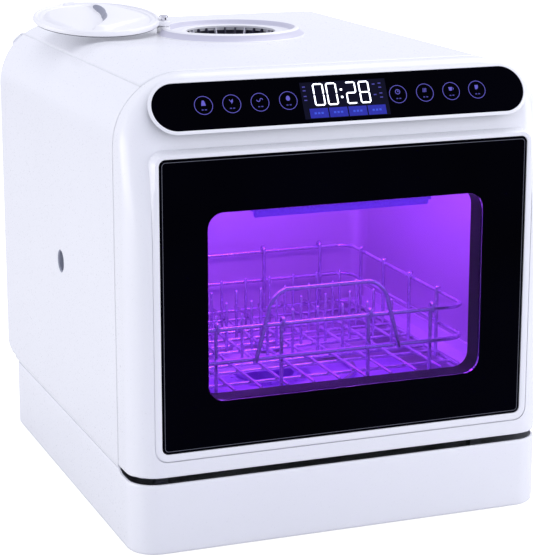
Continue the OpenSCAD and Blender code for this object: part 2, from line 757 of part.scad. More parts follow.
// Arch of the handle: feet at the lower rail, a steep leg, a shallow bend
leg_l = 47;
leg_a = 19;
bend_l = 17;
bend_a = 52;
arch_x = 74 - leg_l * sin(leg_a);
arch_z = rack_low + leg_l * cos(leg_a);
top_x = arch_x - bend_l * sin(bend_a);
top_z = arch_z + bend_l * cos(bend_a);
module rack_handle() color("lavender") place() translate([0, rack_y - wire_r - 2.12, 0]) {
    for (s = [-1, 1]) {
        translate([s * 74, 0, rack_low]) rotate([0, -s * leg_a, 0]) cylinder(h = leg_l, r = 2.1);
        translate([s * arch_x, 0, arch_z]) sphere(2.45);
        translate([s * arch_x, 0, arch_z]) rotate([0, -s * bend_a, 0]) cylinder(h = bend_l, r = 2.1);
        translate([s * top_x, 0, top_z]) sphere(2.45);
    }
    rod_x(-top_x, top_x, 0, top_z, 2.1);
}

base_tray();
rubber_feet();
side_panel_left();
side_panel_right();
top_cover();
back_panel();
back_screws();
back_grille();
side_port();
front_frame();
gap_strip();
hinge_arms();
tub();
tub_gasket();
rack_rails();
sump();
filter_plate();
filter_cup();
spray_hub();
hub_nut();
spray_arm();
heater();
pump_housing();
wash_motor();
impeller();
delivery_pipe();
drain_pump();
drain_hose();
drain_spigot();
inlet_valve();
inlet_hose();
inlet_nipple();
water_tank();
feed_hose();
fill_funnel();
fill_collar();
fill_strainer();
lid_pivot_pin();
fill_lid();
lid_seal();
vent_duct();
fan_housing();
fan_rotor();
main_board();
cord_inlet();
latch_housing();
door_frame();
door_glass();
window_pane();
window_surround();
inner_pane();
door_liner();
lamp_bar();
control_lens();
display_board();
latch_hook();
hinge_pins();
rack_basket();
rack_tines();
rack_handle();
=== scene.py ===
import bpy, bmesh, json, math
import numpy as np
from mathutils import Matrix, Vector


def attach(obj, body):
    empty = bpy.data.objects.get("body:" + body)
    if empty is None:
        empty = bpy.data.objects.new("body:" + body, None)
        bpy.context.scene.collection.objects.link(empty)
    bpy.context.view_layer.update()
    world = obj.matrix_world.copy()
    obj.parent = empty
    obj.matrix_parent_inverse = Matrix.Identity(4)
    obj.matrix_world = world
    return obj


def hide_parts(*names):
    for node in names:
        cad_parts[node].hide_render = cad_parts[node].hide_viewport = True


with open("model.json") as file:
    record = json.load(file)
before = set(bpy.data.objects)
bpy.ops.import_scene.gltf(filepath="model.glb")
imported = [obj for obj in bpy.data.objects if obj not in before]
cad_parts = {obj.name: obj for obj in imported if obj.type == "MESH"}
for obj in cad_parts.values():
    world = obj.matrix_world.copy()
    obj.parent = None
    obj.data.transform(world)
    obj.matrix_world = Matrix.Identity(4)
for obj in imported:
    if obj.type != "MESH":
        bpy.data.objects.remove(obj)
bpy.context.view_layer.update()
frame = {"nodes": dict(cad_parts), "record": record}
SCENE = bpy.context.scene
D2 = 243.5      # half the body's depth, mm
FOOT = 5.0      # height of the feet, mm


# ------------------------------------------------------------------ helpers
# Every shape below is written in millimetres from the door face (y = 0) and
# the underside of the base (z = 0), and moved to the part's frame here.
def to_m(p):
    p = np.array(p, float).reshape(-1, 3)
    return np.column_stack([p[:, 0], p[:, 1] - D2, p[:, 2] + FOOT]) / 1000.0


def add_mesh(name, verts, faces, mat, body, repl=None, smooth=True, angle=None, metres=False):
    v = np.array(verts, float) if metres else to_m(verts)
    me = bpy.data.meshes.new(name)
    me.from_pydata([tuple(q) for q in v], [], [tuple(int(i) for i in f) for f in faces])
    me.validate()
    me.update()
    ob = bpy.data.objects.new(name, me)
    SCENE.collection.objects.link(ob)
    if mat is not None:
        me.materials.append(mat)
    for p in me.polygons:
        p.use_smooth = smooth
    if angle is not None:
        me.set_sharp_from_angle(angle=math.radians(angle))
    if repl:
        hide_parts(*([repl] if isinstance(repl, str) else repl))
    if body:
        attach(ob, body)
    return ob


def apply_mods(ob):
    dg = bpy.context.evaluated_depsgraph_get()
    dg.update()
    me = bpy.data.meshes.new_from_object(ob.evaluated_get(dg))
    old = ob.data
    ob.modifiers.clear()
    ob.data = me
    me.name = ob.name
    if old.users == 0:
        bpy.data.meshes.remove(old)
    return ob


def solidify(ob, t, offset=-1.0):
    m = ob.modifiers.new("solid", "SOLIDIFY")
    m.thickness = t / 1000.0
    m.offset = offset
    m.use_even_offset = True
    m.use_rim = True
    return apply_mods(ob)


def boolean(ob, cutter, op="DIFFERENCE"):
    m = ob.modifiers.new("cut", "BOOLEAN")
    m.operation = op
    m.solver = "EXACT"
    m.object = cutter
    apply_mods(ob)
    bpy.data.objects.remove(cutter)
    return ob


def grid(P, cu=False, cv=False, base=0):
    """Faces of a grid of points P[u, v]."""
    nu, nv = P.shape[:2]
    f = []
    for i in range(nu if cu else nu - 1):
        for j in range(nv if cv else nv - 1):
            a, b = i, (i + 1) % nu
            c, d = j, (j + 1) % nv
            f.append((base + a * nv + c, base + b * nv + c, base + b * nv + d, base + a * nv + d))
    return P.reshape(-1, 3), f


def orient(verts, faces, outward):
    """Turn all faces if they look against outward(centres)."""
    v = np.asarray(verts, float)
    n = np.zeros(3)
    s = 0.0
    step = max(1, len(faces) // 400)
    for f in faces[::step]:
        p = v[list(f)]
        nn = np.cross(p[1] - p[0], p[2] - p[0])
        s += float(np.dot(nn, outward(p.mean(0))))
    return faces if s > 0 else [tuple(reversed(f)) for f in faces]


class Build:
    """Collects several patches into one mesh."""

    def __init__(self):
        self.v, self.f = [], []

    def add(self, verts, faces):
        o = len(self.v)
        self.v.extend([tuple(map(float, p)) for p in np.asarray(verts, float).reshape(-1, 3)])
        self.f.extend([tuple(int(i) + o for i in q) for q in faces])
        return self

    def obj(self, name, mat, body, repl=None, smooth=True, angle=35, metres=False, weld=0.0):
        ob = add_mesh(name, self.v, self.f, mat, body, repl, smooth, None, metres)
        if weld:
            bm = bmesh.new()
            bm.from_mesh(ob.data)
            bmesh.ops.remove_doubles(bm, verts=bm.verts, dist=weld / 1000)
            bm.to_mesh(ob.data)
            bm.free()
        if angle is not None:
            ob.data.set_sharp_from_angle(angle=math.radians(angle))
        return ob


def lathe(profile, cx=0.0, cy=0.0, n=96, a0=0.0, a1=360.0):
    """Revolve (r, z) points about an upright axis. A closed profile ends where it starts."""
    full = abs(a1 - a0 - 360) < 1e-6
    a = np.radians(np.linspace(a0, a1, n, endpoint=not full))
    P = np.array([[(cx + r * math.cos(t), cy + r * math.sin(t), z) for r, z in profile] for t in a])
    return grid(P, cu=full)


def rounded(points, radii, n=6):
    """Round the corners of an open 2-D polyline."""
    out = [tuple(points[0])]
    for i in range(1, len(points) - 1):
        p0, p, p1 = (np.array(points[k], float) for k in (i - 1, i, i + 1))
        r = radii[i] if isinstance(radii, (list, tuple)) else radii
        u, w = p0 - p, p1 - p
        lu, lw = np.linalg.norm(u), np.linalg.norm(w)
        u, w = u / lu, w / lw
        ang = math.acos(max(-1, min(1, float(np.dot(u, w)))))
        if r <= 0 or ang > math.radians(178):
            out.append(tuple(p))
            continue
        t = min(r / math.tan(ang / 2), lu * 0.49, lw * 0.49)
        a, b = p + u * t, p + w * t
        for k in range(n + 1):
            s = k / n
            out.append(tuple((1 - s) ** 2 * a + 2 * s * (1 - s) * p + s * s * b))
    out.append(tuple(points[-1]))
    return out


def fillet3(points, r, n=8, closed=False):
    """Round the corners of a 3-D polyline with arcs."""
    pts = [np.array(p, float) for p in points]
    m = len(pts)
    out = []
    rng = range(m) if closed else range(1, m - 1)
    if not closed:
        out.append(pts[0])
    for i in rng:
        p0, p, p1 = pts[i - 1], pts[i], pts[(i + 1) % m]
        u, w = p0 - p, p1 - p
        lu, lw = np.linalg.norm(u), np.linalg.norm(w)
        u, w = u / lu, w / lw
        ang = math.acos(max(-1, min(1, float(np.dot(u, w)))))
        t = min(r / math.tan(ang / 2), lu * 0.48, lw * 0.48)
        rr = t * math.tan(ang / 2)
        a = p + u * t
        b = p + w * t
        bis = (u + w) / np.linalg.norm(u + w)
        c = p + bis * (rr / math.sin(ang / 2))
        va, vb = a - c, b - c
        th = math.pi - ang
        for k in range(n + 1):
            s = k / n
            q = (math.sin((1 - s) * th) * va + math.sin(s * th) * vb) / math.sin(th)
            out.append(c + q)
    if not closed:
        out.append(pts[-1])
    return out


def tube(points, r, n=10, closed=False, caps=True):
    """A round wire along 3-D points."""
    P = np.array(points, float)
    m = len(P)
    if closed:
        T = np.roll(P, -1, 0) - np.roll(P, 1, 0)
    else:
        T = np.gradient(P, axis=0)
    T /= np.linalg.norm(T, axis=1)[:, None]
    N = np.zeros_like(T)
    ref = np.array([0, 0, 1.0]) if abs(T[0][2]) < 0.9 else np.array([1.0, 0, 0])
    N[0] = np.cross(T[0], ref)
    N[0] /= np.linalg.norm(N[0])
    for i in range(1, m):
        v = N[i - 1] - np.dot(N[i - 1], T[i]) * T[i]
        N[i] = v / np.linalg.norm(v)
    if closed:
        # spread the leftover twist over the loop
        v = N[-1] - np.dot(N[-1], T[0]) * T[0]
        v /= np.linalg.norm(v)
        B0 = np.cross(T[0], N[0])
        tw = math.atan2(np.dot(v, B0), np.dot(v, N[0]))
        for i in range(m):
            a = -tw * i / m
            B = np.cross(T[i], N[i])
            N[i] = N[i] * math.cos(a) + B * math.sin(a)
    rings, rad = [], []
    B = np.cross(T, N)
    an = np.linspace(0, 2 * math.pi, n, endpoint=False)
    for i in range(m):
        rings.append([P[i] + r * (N[i] * math.cos(a) + B[i] * math.sin(a)) for a in an])
    if not closed and caps:
        head = [[P[0] - T[0] * r * s + r * c * (N[0] * math.cos(a) + B[0] * math.sin(a)) for a in an] for s, c in ((0.95, 0.3), (0.6, 0.8))]
        tail = [[P[-1] + T[-1] * r * s + r * c * (N[-1] * math.cos(a) + B[-1] * math.sin(a)) for a in an] for s, c in ((0.6, 0.8), (0.95, 0.3))]
        rings = head + rings + tail
    V, F = grid(np.array(rings), cu=closed, cv=True)
    if not closed:
        k = len(rings)
        F = list(F) + [tuple(reversed(range(n))), tuple((k - 1) * n + i for i in range(n))]
    F = [tuple(reversed(f)) for f in F]
    return V, F


def rrect_pts(x0, z0, x1, z1, radii, counts):
    """Closed rounded rectangle, clockwise from the lower left going up.
    radii: bottom-left, top-left, top-right, bottom-right. counts: side, top, corner."""
    ns, nt, nc = counts
    bl, tl, tr, br = radii
    pts = []

    def seg(a, b, n):
        for k in range(n):
            s = k / n
            pts.append((a[0] + (b[0] - a[0]) * s, a[1] + (b[1] - a[1]) * s))

    def arc(cx, cz, r, a, b, n):
        for k in range(n):
            t = math.radians(a + (b - a) * k / n)
            pts.append((cx + r * math.cos(t), cz + r * math.sin(t)))

    seg((x0, z0 + bl), (x0, z1 - tl), ns)
    arc(x0 + tl, z1 - tl, tl, 180, 90, nc)
    seg((x0 + tl, z1), (x1 - tr, z1), nt)
    arc(x1 - tr, z1 - tr, tr, 90, 0, nc)
    seg((x1, z1 - tr), (x1, z0 + br), ns)
    arc(x1 - br, z0 + br, br, 0, -90, nc)
    seg((x1 - br, z0), (x0 + bl, z0), nt)
    arc(x0 + bl, z0 + bl, bl, 270, 180, nc)
    return np.array(pts)


def loop_normals(p):
    """Outward unit normals of a closed clockwise 2-D loop."""
    t = np.roll(p, -1, 0) - np.roll(p, 1, 0)
    t /= np.linalg.norm(t, axis=1)[:, None]
    return np.column_stack([-t[:, 1], t[:, 0]])


# ------------------------------------------------------------------ materials
def rgb(r, g, b):
    """sRGB 0-255 to linear."""
    return tuple(((c / 255) / 12.92 if c / 255 <= 0.04045 else ((c / 255 + 0.055) / 1.055) ** 2.4) for c in (r, g, b)) + (1.0,)


class Mat:
    def __init__(self, name):
        self.m = bpy.data.materials.new(name)
        self.m.use_nodes = True
        self.t = self.m.node_tree
        self.b = self.t.nodes["Principled BSDF"]
        self.tc = None

    def n(self, kind, **kw):
        x = self.t.nodes.new(kind)
        for k, v in kw.items():
            if k.startswith("i_"):
                x.inputs[k[2:].replace("_", " ")].default_value = v
            else:
                setattr(x, k, v)
        return x

    def l(self, a, b):
        self.t.links.new(a, b)

    def coord(self):
        if self.tc is None:
            self.tc = self.n("ShaderNodeTexCoord")
        return self.tc.outputs["Object"]

    def set(self, **kw):
        for k, v in kw.items():
            self.b.inputs[k.replace("_", " ")].default_value = v
        return self

    def noise(self, scale, detail=4.0, rough=0.5, stretch=None):
        x = self.n("ShaderNodeTexNoise")
        x.inputs["Scale"].default_value = scale
        x.inputs["Detail"].default_value = detail
        x.inputs["Roughness"].default_value = rough
        if stretch:
            mp = self.n("ShaderNodeMapping")
            mp.inputs["Scale"].default_value = stretch
            self.l(self.coord(), mp.inputs["Vector"])
            self.l(mp.outputs["Vector"], x.inputs["Vector"])
        else:
            self.l(self.coord(), x.inputs["Vector"])
        return x.outputs["Fac"]

    def ramp_color(self, fac, c0, c1, p0=0.3, p1=0.7):
        r = self.n("ShaderNodeValToRGB")
        r.color_ramp.elements[0].position = p0
        r.color_ramp.elements[0].color = c0
        r.color_ramp.elements[1].position = p1
        r.color_ramp.elements[1].color = c1
        self.l(fac, r.inputs["Fac"])
        self.l(r.outputs["Color"], self.b.inputs["Base Color"])
        return r

    def ramp_rough(self, fac, a, b, p0=0.3, p1=0.7):
        r = self.n("ShaderNodeMapRange")
        r.inputs["From Min"].default_value = p0
        r.inputs["From Max"].default_value = p1
        r.inputs["To Min"].default_value = a
        r.inputs["To Max"].default_value = b
        self.l(fac, r.inputs["Value"])
        self.l(r.outputs["Result"], self.b.inputs["Roughness"])
        return r

    def bump(self, fac, strength, dist=0.0004):
        x = self.n("ShaderNodeBump")
        x.inputs["Strength"].default_value = strength
        x.inputs["Distance"].default_value = dist
        self.l(fac, x.inputs["Height"])
        self.l(x.outputs["Normal"], self.b.inputs["Normal"])
        return x


def plastic(name, c, rough=0.3, var=0.012, coat=0.0, bump=0.05, scale=650.0, spec=0.5):
    m = Mat(name)
    big = m.noise(9.0, 3.0)
    lo = tuple(max(0, x * (1 - var)) for x in c[:3]) + (1,)
    hi = tuple(min(1, x * (1 + var)) for x in c[:3]) + (1,)
    m.ramp_color(big, lo, hi)
    fine = m.noise(scale, 2.0)
    m.ramp_rough(fine, rough * 0.9, rough * 1.12)
    m.bump(fine, bump, 0.0001)
    m.set(Coat_Weight=coat, Coat_Roughness=0.06, Specular_IOR_Level=spec)
    return m.m


def rubber(name, c, rough=0.75):
    m = Mat(name)
    f = m.noise(380.0, 5.0, 0.6)
    m.ramp_color(f, tuple(x * 0.8 for x in c[:3]) + (1,), tuple(min(1, x * 1.25) for x in c[:3]) + (1,))
    m.ramp_rough(f, rough - 0.1, rough + 0.1)
    m.bump(f, 0.35, 0.0003)
    m.set(Specular_IOR_Level=0.3)
    return m.m


def steel(name, c, rough=0.28, stretch=(1.0, 60.0, 60.0), strength=0.12, var=0.08, aniso=0.3):
    m = Mat(name)
    f = m.noise(30.0, 6.0, 0.65, stretch)
    m.ramp_color(f, tuple(x * (1 - var) for x in c[:3]) + (1,), tuple(min(1, x * (1 + var)) for x in c[:3]) + (1,))
    m.ramp_rough(f, rough * 0.75, rough * 1.3)
    m.bump(f, strength, 0.0002)
    m.set(Metallic=1.0, Anisotropic=aniso)
    return m.m


def glow(name, c, strength, base=(0.02, 0.02, 0.05, 1)):
    m = Mat(name)
    f = m.noise(500.0, 2.0)
    m.ramp_color(f, base, tuple(min(1, x * 1.4) for x in base[:3]) + (1,))
    m.set(Emission_Color=c, Emission_Strength=strength, Roughness=0.35, Specular_IOR_Level=0.06)
    return m.m


WHITE = rgb(241, 242, 246)
M = {}
M["white"] = plastic("white_plastic", WHITE, 0.3, 0.006, coat=0.2, bump=0.012)
M["white_lid"] = plastic("white_lid", rgb(243, 243, 246), 0.32, 0.006, coat=0.15, bump=0.012)
# darker lavender copy of the white plastic, painted shade for the collar's walls
M["collar_wall_painted_shade"] = plastic("collar_wall_painted_shade", rgb(206, 205, 220), 0.36, 0.006, bump=0.012)
# the strainer's own dark colour; also laid on the white collar's bore as painted shade
M["strainer_dark_and_bore_shade"] = plastic("strainer_dark_and_bore_shade", rgb(44, 42, 66), 0.45, 0.08, bump=0.08)
M["grey"] = plastic("grey_plastic", rgb(150, 153, 168), 0.38, 0.05, bump=0.1)
M["mid_grey"] = plastic("mid_grey_plastic", rgb(112, 116, 132), 0.42, 0.06, bump=0.1)
M["dark"] = plastic("dark_plastic", rgb(34, 34, 44), 0.42, 0.12, bump=0.15)
M["gap"] = plastic("gap_plastic", rgb(58, 56, 88), 0.5, 0.1, bump=0.12)
M["liner"] = plastic("liner_plastic", rgb(214, 214, 224), 0.33, 0.015, coat=0.1, bump=0.06)
M["tank"] = plastic("tank_plastic", rgb(226, 230, 238), 0.45, 0.02, bump=0.1)
M["rubber"] = rubber("soft_rubber", rgb(42, 42, 46))
M["gasket"] = rubber("gasket_rubber", rgb(96, 97, 106), 0.6)
M["tub"] = steel("tub_steel", rgb(206, 206, 214), 0.42, (1.0, 1.0, 50.0), 0.012, 0.02, 0.0)
M["tub"].node_tree.nodes["Principled BSDF"].inputs["Metallic"].default_value = 0.55
M["steel"] = steel("brushed_steel", rgb(196, 198, 204), 0.3)
M["bright"] = steel("bright_steel", rgb(214, 214, 220), 0.16, (40.0, 40.0, 1.0), 0.04, 0.04)
M["motor"] = steel("motor_can", rgb(120, 124, 132), 0.4, (1.0, 40.0, 40.0), 0.1, 0.08)
M["black"] = plastic("surround_black", rgb(9, 6, 22), 0.4, 0.2, bump=0.06, spec=0.15)


def circuit():
    m = Mat("circuit_board")
    v = m.n("ShaderNodeTexVoronoi")
    v.inputs["Scale"].default_value = 260.0
    m.l(m.coord(), v.inputs["Vector"])
    m.ramp_color(v.outputs["Distance"], rgb(16, 66, 34), rgb(34, 108, 58), 0.1, 0.5)
    m.bump(v.outputs["Distance"], 0.3, 0.0003)
    m.set(Roughness=0.4)
    return m.m


M["circuit"] = circuit()


def wire_mat():
    m = Mat("coated_wire")
    f = m.noise(420.0, 3.0)
    m.ramp_color(f, rgb(190, 188, 206), rgb(204, 202, 218))
    m.ramp_rough(f, 0.2, 0.28)
    m.bump(f, 0.01, 0.0001)
    m.set(Metallic=0.75, Coat_Weight=0.4, Coat_Roughness=0.1)
    return m.m


M["wire"] = wire_mat()


def black_glass():
    m = Mat("black_glass")
    f = m.noise(6.0, 2.0)
    m.ramp_color(f, rgb(1, 1, 4), rgb(2, 2, 9))
    g = m.noise(900.0, 2.0)
    m.ramp_rough(g, 0.05, 0.08)
    m.set(Specular_IOR_Level=0.02, IOR=1.3)
    return m.m


M["black_glass"] = black_glass()


def clear_glass(name, tint):
    m = Mat(name)
    g = m.noise(40.0, 2.0)
    m.ramp_color(g, tint, tuple(min(1, x * 1.02) for x in tint[:3]) + (1,))
    m.set(Roughness=0.0, IOR=1.15, Transmission_Weight=1.0, Specular_IOR_Level=0.2)
    return m.m


# the violet tint of both panes is painted light: it stands in for the violet lamp glow that swamps outside light in the
# window
M["pane"] = clear_glass("window_glass", (0.66, 0.46, 0.96, 1))
M["inner"] = clear_glass("inner_glass", (0.86, 0.80, 1.0, 1))
M["lamp"] = glow("lamp_cover", rgb(112, 52, 232), 0.55, (0.2, 0.1, 0.5, 1))
M["digits"] = glow("display_digits", rgb(236, 240, 255), 2.6, (0.5, 0.5, 0.55, 1))
M["icons"] = glow("touch_icons", rgb(112, 104, 226), 0.72)
M["icons_dim"] = glow("touch_icons_dim", rgb(92, 88, 206), 0.55)
M["blocks"] = glow("display_blocks", rgb(24, 34, 196), 0.62)
M["blocks_text"] = glow("display_block_bars", rgb(60, 90, 240), 0.8)
M["window_blue"] = glow("display_window", rgb(6, 7, 34), 0.16, (0.002, 0.002, 0.01, 1))

SLOT_MAT = {
    "white_plastic": "white", "white_lid": "white_lid", "grey_plastic": "grey", "dark_plastic": "dark",
    "liner_plastic": "liner", "rubber": "rubber", "gasket": "gasket", "steel": "steel", "bright_steel": "bright",
    "wire": "wire", "black_glass": "black_glass", "clear_glass": "pane", "lamp": "lamp", "tank_plastic": "tank",
    "circuit": "circuit", "motor": "motor",
}
NODE_MAT = {"tub": "tub", "gap_strip": "gap", "window_surround": "black", "inner_pane": "inner", "filter_plate": "steel",
            "back_grille": "mid_grey", "side_port": "grey", "hub_nut": "mid_grey", "fill_strainer": "strainer_dark_and_bore_shade", "fill_funnel": "strainer_dark_and_bore_shade"}
slots = {s["node"]: s["material_slot"] for s in frame["record"]["subparts"]}
for node, ob in frame["nodes"].items():
    mat = M[NODE_MAT.get(node) or SLOT_MAT[slots[node]]]
    if not ob.data.materials:
        ob.data.materials.append(mat)
    for i in range(len(ob.material_slots)):
        ob.material_slots[i].material = mat


# ------------------------------------------------------------------ outer form
SL = math.radians(28)
TOP, HW, R_TOP, SLZ = 440.0, 210.0, 66.0, 382.9
SEAM = 50.0


def rint(a, b, r):
    u, v = np.maximum(a + r, 0), np.maximum(b + r, 0)
    return np.minimum(np.maximum(a, b), -r) + np.sqrt(u * u + v * v)


def form(p):
    x, y, z = p[:, 0], p[:, 1], p[:, 2]
    qx, qz = np.abs(x) - (HW - R_TOP), z - (TOP - R_TOP)
    a = np.sqrt(np.maximum(qx, 0) ** 2 + np.maximum(qz, 0) ** 2) + np.minimum(np.maximum(qx, qz), 0) - R_TOP
    ln = np.sqrt(np.maximum(qx, 0) ** 2 + np.maximum(qz, 0) ** 2) + 1e-9
    up = np.where(qz > 0, np.clip(qz, 0, None) / ln, 0.0)
    up = up * up * (3 - 2 * up)
    r = 28.0 + (9.0 - 28.0) * up
    slope = -y * math.cos(SL) + (z - SLZ) * math.sin(SL)
    g = rint(-y, slope, 45.0)
    return rint(rint(a, g, r), y - 487.0, 12.0)


def project(P, f=form, it=12):
    sh = P.shape
    p = np.array(P, float).reshape(-1, 3)
    for _ in range(it):
        v = f(p)
        g = np.zeros_like(p)
        for k in range(3):
            q = p.copy(); q[:, k] += 0.05
            w = p.copy(); w[:, k] -= 0.05
            g[:, k] = (f(q) - f(w)) / 0.1
        g2 = np.maximum((g * g).sum(1), 0.2)
        p -= (v / g2)[:, None] * g
    return p.reshape(sh)


def out_dir(c):
    return np.array(c) - np.array([0, 240.0, 220.0])


# ------------------------------------------------------------------ door bezel
def door_form(p):
    f = form(p)
    return rint(f, 74.0 - p[:, 2], 2.5)


CNT = (44, 64, 22)
GX, GZ0, GZ1 = 182.1, 96.6, 369.0            # edges of the glass
RIM = 7.6                                    # width of the frame round the glass
outer = rrect_pts(-HW, 74.0, HW, TOP, (3, R_TOP, R_TOP, 3), CNT)
hole = rrect_pts(-GX - RIM, GZ0 - RIM, GX + RIM, GZ1 + RIM, (13, 13, 13, 13), CNT)


def slope_y(z):
    return np.maximum(0, (z - SLZ) * math.tan(SL))


rows = []
ye = slope_y(outer[:, 1])
for k in range(15):
    s = k / 15
    y = SEAM + (ye - SEAM) * s
    rows.append(np.column_stack([outer[:, 0], y, outer[:, 1]]))
NF = 40
for k in range(NF + 1):
    s = k / NF
    q = outer * (1 - s) + hole * s
    rows.append(np.column_stack([q[:, 0], slope_y(q[:, 1]), q[:, 1]]))
P = np.array(rows)
P = project(P, door_form)
P[0, :, 1] = SEAM
bez_edge = P[-1].copy()                      # the rim of the opening
# turn the edge of the opening in by 1.2 mm
lip = bez_edge.copy()
lip[:, 1] += 0.8
ctr = np.array([0, 0, 232.8])
P = np.concatenate([P, lip[None]])
V, F = grid(P, cv=True)
F = orient(V, F, lambda c: np.array([c[0], -200.0, c[2] - 230]))
bez = add_mesh("door_bezel", V, F, M["white"], "door", "door_frame", angle=40)
solidify(bez, 2.4)

# frame round the glass: groove, band, bright inner chamfer
gl = rrect_pts(-GX, GZ0, GX, GZ1, (6, 6, 6, 6), CNT)
gn = loop_normals(gl)


def rim_row(off, y):
    q = gl + gn * off
    return np.column_stack([q[:, 0], np.full(len(q), float(y)) if np.isscalar(y) else y, q[:, 1]])


edge_y = bez_edge[:, 1]
rows = [
    np.column_stack([hole[:, 0], edge_y + 0.9, hole[:, 1]]),
    rim_row(RIM - 0.7, edge_y + 0.75),
    rim_row(RIM - 1.0, edge_y * 0.6 + 0.30),
    rim_row(RIM - 1.6, edge_y * 0.4 + 0.12),
    rim_row(4.0, 0.22), rim_row(2.0, 0.42), rim_row(1.1, 0.5), rim_row(0.5, 0.72), rim_row(0.25, 1.2), rim_row(0.2, 3.0),
]
V, F = grid(np.array(rows), cv=True)
F = orient(V, F, lambda c: np.array([0, -1.0, 0]))
rim = add_mesh("glass_rim", V, F, M["white"], "door", angle=50)
solidify(rim, 1.0)


def plate(loop2, y0, y1, bevel, inner=None, n=3):
    """A flat plate from a closed outline in XZ, with a rounded front edge; inner is a hole."""
    b = Build()
    nrm = loop_normals(loop2)
    prof = [(0.0, y1), (0.0, y0 + bevel)]
    for k in range(1, n + 1):
        t = math.radians(90 * k / n)
        prof.append((-bevel * (1 - math.cos(t)), y0 + bevel * (1 - math.sin(t))))
    rows = [np.column_stack([(loop2 + nrm * o)[:, 0], np.full(len(loop2), y), (loop2 + nrm * o)[:, 1]]) for o, y in prof]
    if inner is None:
        c = loop2.mean(0)
        last = rows[-1]
        for s in (0.5, 0.98):
            rows.append(np.column_stack([last[:, 0] * (1 - s) + c[0] * s, last[:, 1], last[:, 2] * (1 - s) + c[1] * s]))
        V, F = grid(np.array(rows), cv=True)
        m = len(loop2)
        F = list(F) + [tuple((len(rows) - 1) * m + i for i in range(m))]
        V2, F2 = rows[0], [tuple(range(m))]
        b.add(V, F).add(V2, F2)
    else:
        inr = loop_normals(inner)
        ib = bevel * 0.6
        for o in (-bevel - 0.6,):
            q = loop2 + nrm * o
            rows.append(np.column_stack([q[:, 0], np.full(len(q), y0), q[:, 1]]))
        for o in (ib + 0.6, ib):
            rows.append(np.column_stack([(inner + inr * o)[:, 0], np.full(len(inner), y0), (inner + inr * o)[:, 1]]))
        rows.append(np.column_stack([inner[:, 0], np.full(len(inner), y0 + ib), inner[:, 1]]))
        rows.append(np.column_stack([inner[:, 0], np.full(len(inner), y1), inner[:, 1]]))
        rows.append(rows[0])
        V, F = grid(np.array(rows[:-1]), cv=True)
        m = len(loop2)
        F = list(F) + [((len(rows) - 2) * m + i, (len(rows) - 2) * m + (i + 1) % m, (i + 1) % m, i) for i in range(m)]
        b.add(V, F)
    return b


WX, WZ0, WZ1 = 136.95, 142.3, 318.1
win = rrect_pts(-WX, WZ0, WX, WZ1, (15, 15, 15, 15), CNT)
b = plate(gl, 0.95, 4.3, 1.1, win)
g = b.obj("front_glass", M["black_glass"], "door", "door_glass", angle=40)


def fix_normals(ob):
    bm = bmesh.new()
    bm.from_mesh(ob.data)
    bmesh.ops.remove_doubles(bm, verts=bm.verts, dist=1e-6)
    bmesh.ops.recalc_face_normals(bm, faces=bm.faces)
    bm.to_mesh(ob.data)
    bm.free()
    return ob


fix_normals(g)
# grey hairline just inside the glass edge: a painted highlight standing in for the glint off the glass's bevel
hair = []
for off, y in ((-2.3, 0.93), (-2.75, 0.93)):
    q = gl + gn * off
    hair.append(np.column_stack([q[:, 0], np.full(len(q), y), q[:, 1]]))
V, F = grid(np.array(hair), cv=True)
F = orient(V, F, lambda c: np.array([0, -1.0, 0]))
edge_highlight_mat = plastic("glass_edge_painted_highlight", rgb(96, 98, 110), 0.25, 0.05)
ho = add_mesh("glass_edge_painted_highlight", V, F, edge_highlight_mat, "door")
solidify(ho, 0.05)

# ------------------------------------------------------------------ control strip
SC = np.array([0, 15.9, SLZ + 15.9 / math.tan(SL)])
AX = np.array([1.0, 0, 0])
AY = np.array([0, math.sin(SL), math.cos(SL)])
AZ = np.array([0, -math.cos(SL), math.sin(SL)])


def on_slant(x, y, h):
    """Points on the sloping face: x across, y up the slope, h out of it."""
    x, y, h = np.broadcast_arrays(np.asarray(x, float), np.asarray(y, float), np.asarray(h, float))
    return SC + x[..., None] * AX + y[..., None] * AY + h[..., None] * AZ


def stadium_loop(w, h, n=40, m=60):
    r = h / 2
    c = w / 2 - r
    pts = []
    for k in range(m):
        pts.append((-c + 2 * c * k / m, r))
    for k in range(n):
        t = math.radians(90 - 180 * k / n)
        pts.append((c + r * math.cos(t), r * math.sin(t)))
    for k in range(m):
        pts.append((c - 2 * c * k / m, -r))
    for k in range(n):
        t = math.radians(270 - 180 * k / n)
        pts.append((-c + r * math.cos(t), r * math.sin(t)))
    return np.array(pts)


st = stadium_loop(367.0, 44.7)
sn = loop_normals(st)


def st_row(off, h):
    q = st + sn * off
    return on_slant(q[:, 0], q[:, 1], h)


# black lens with a soft edge
rows = [st_row(0, -1.6), st_row(0, 0.05), st_row(-0.15, 0.22), st_row(-0.5, 0.34), st_row(-1.0, 0.38)]
q = st + sn * -1.0
for s in (0.5, 0.9):
    rows.append(on_slant(q[:, 0] * 1.0, q[:, 1] * (1 - s), 0.38))
V, F = grid(np.array(rows), cv=True)
m = len(st)
F = list(F) + [tuple((len(rows) - 1) * m + i for i in range(m))] + [tuple(reversed(range(m)))]
lens = add_mesh("touch_strip", V, F, M["black_glass"], "door", "control_lens", angle=35)
fix_normals(lens)
# white lip round the lens and the shallow step outside it
rows = [st_row(3.4, -0.25), st_row(3.0, 0.06), st_row(2.6, 0.12), st_row(1.7, 0.18), st_row(1.2, 0.4), st_row(0.75, 0.5), st_row(0.3, 0.42), st_row(0.06, 0.1), st_row(0.02, -1.0)]
V, F = grid(np.array(rows), cv=True)
F = orient(V, F, lambda c: AZ)
lip_o = add_mesh("strip_lip", V, F, M["white"], "door", angle=50)
solidify(lip_o, 0.8)


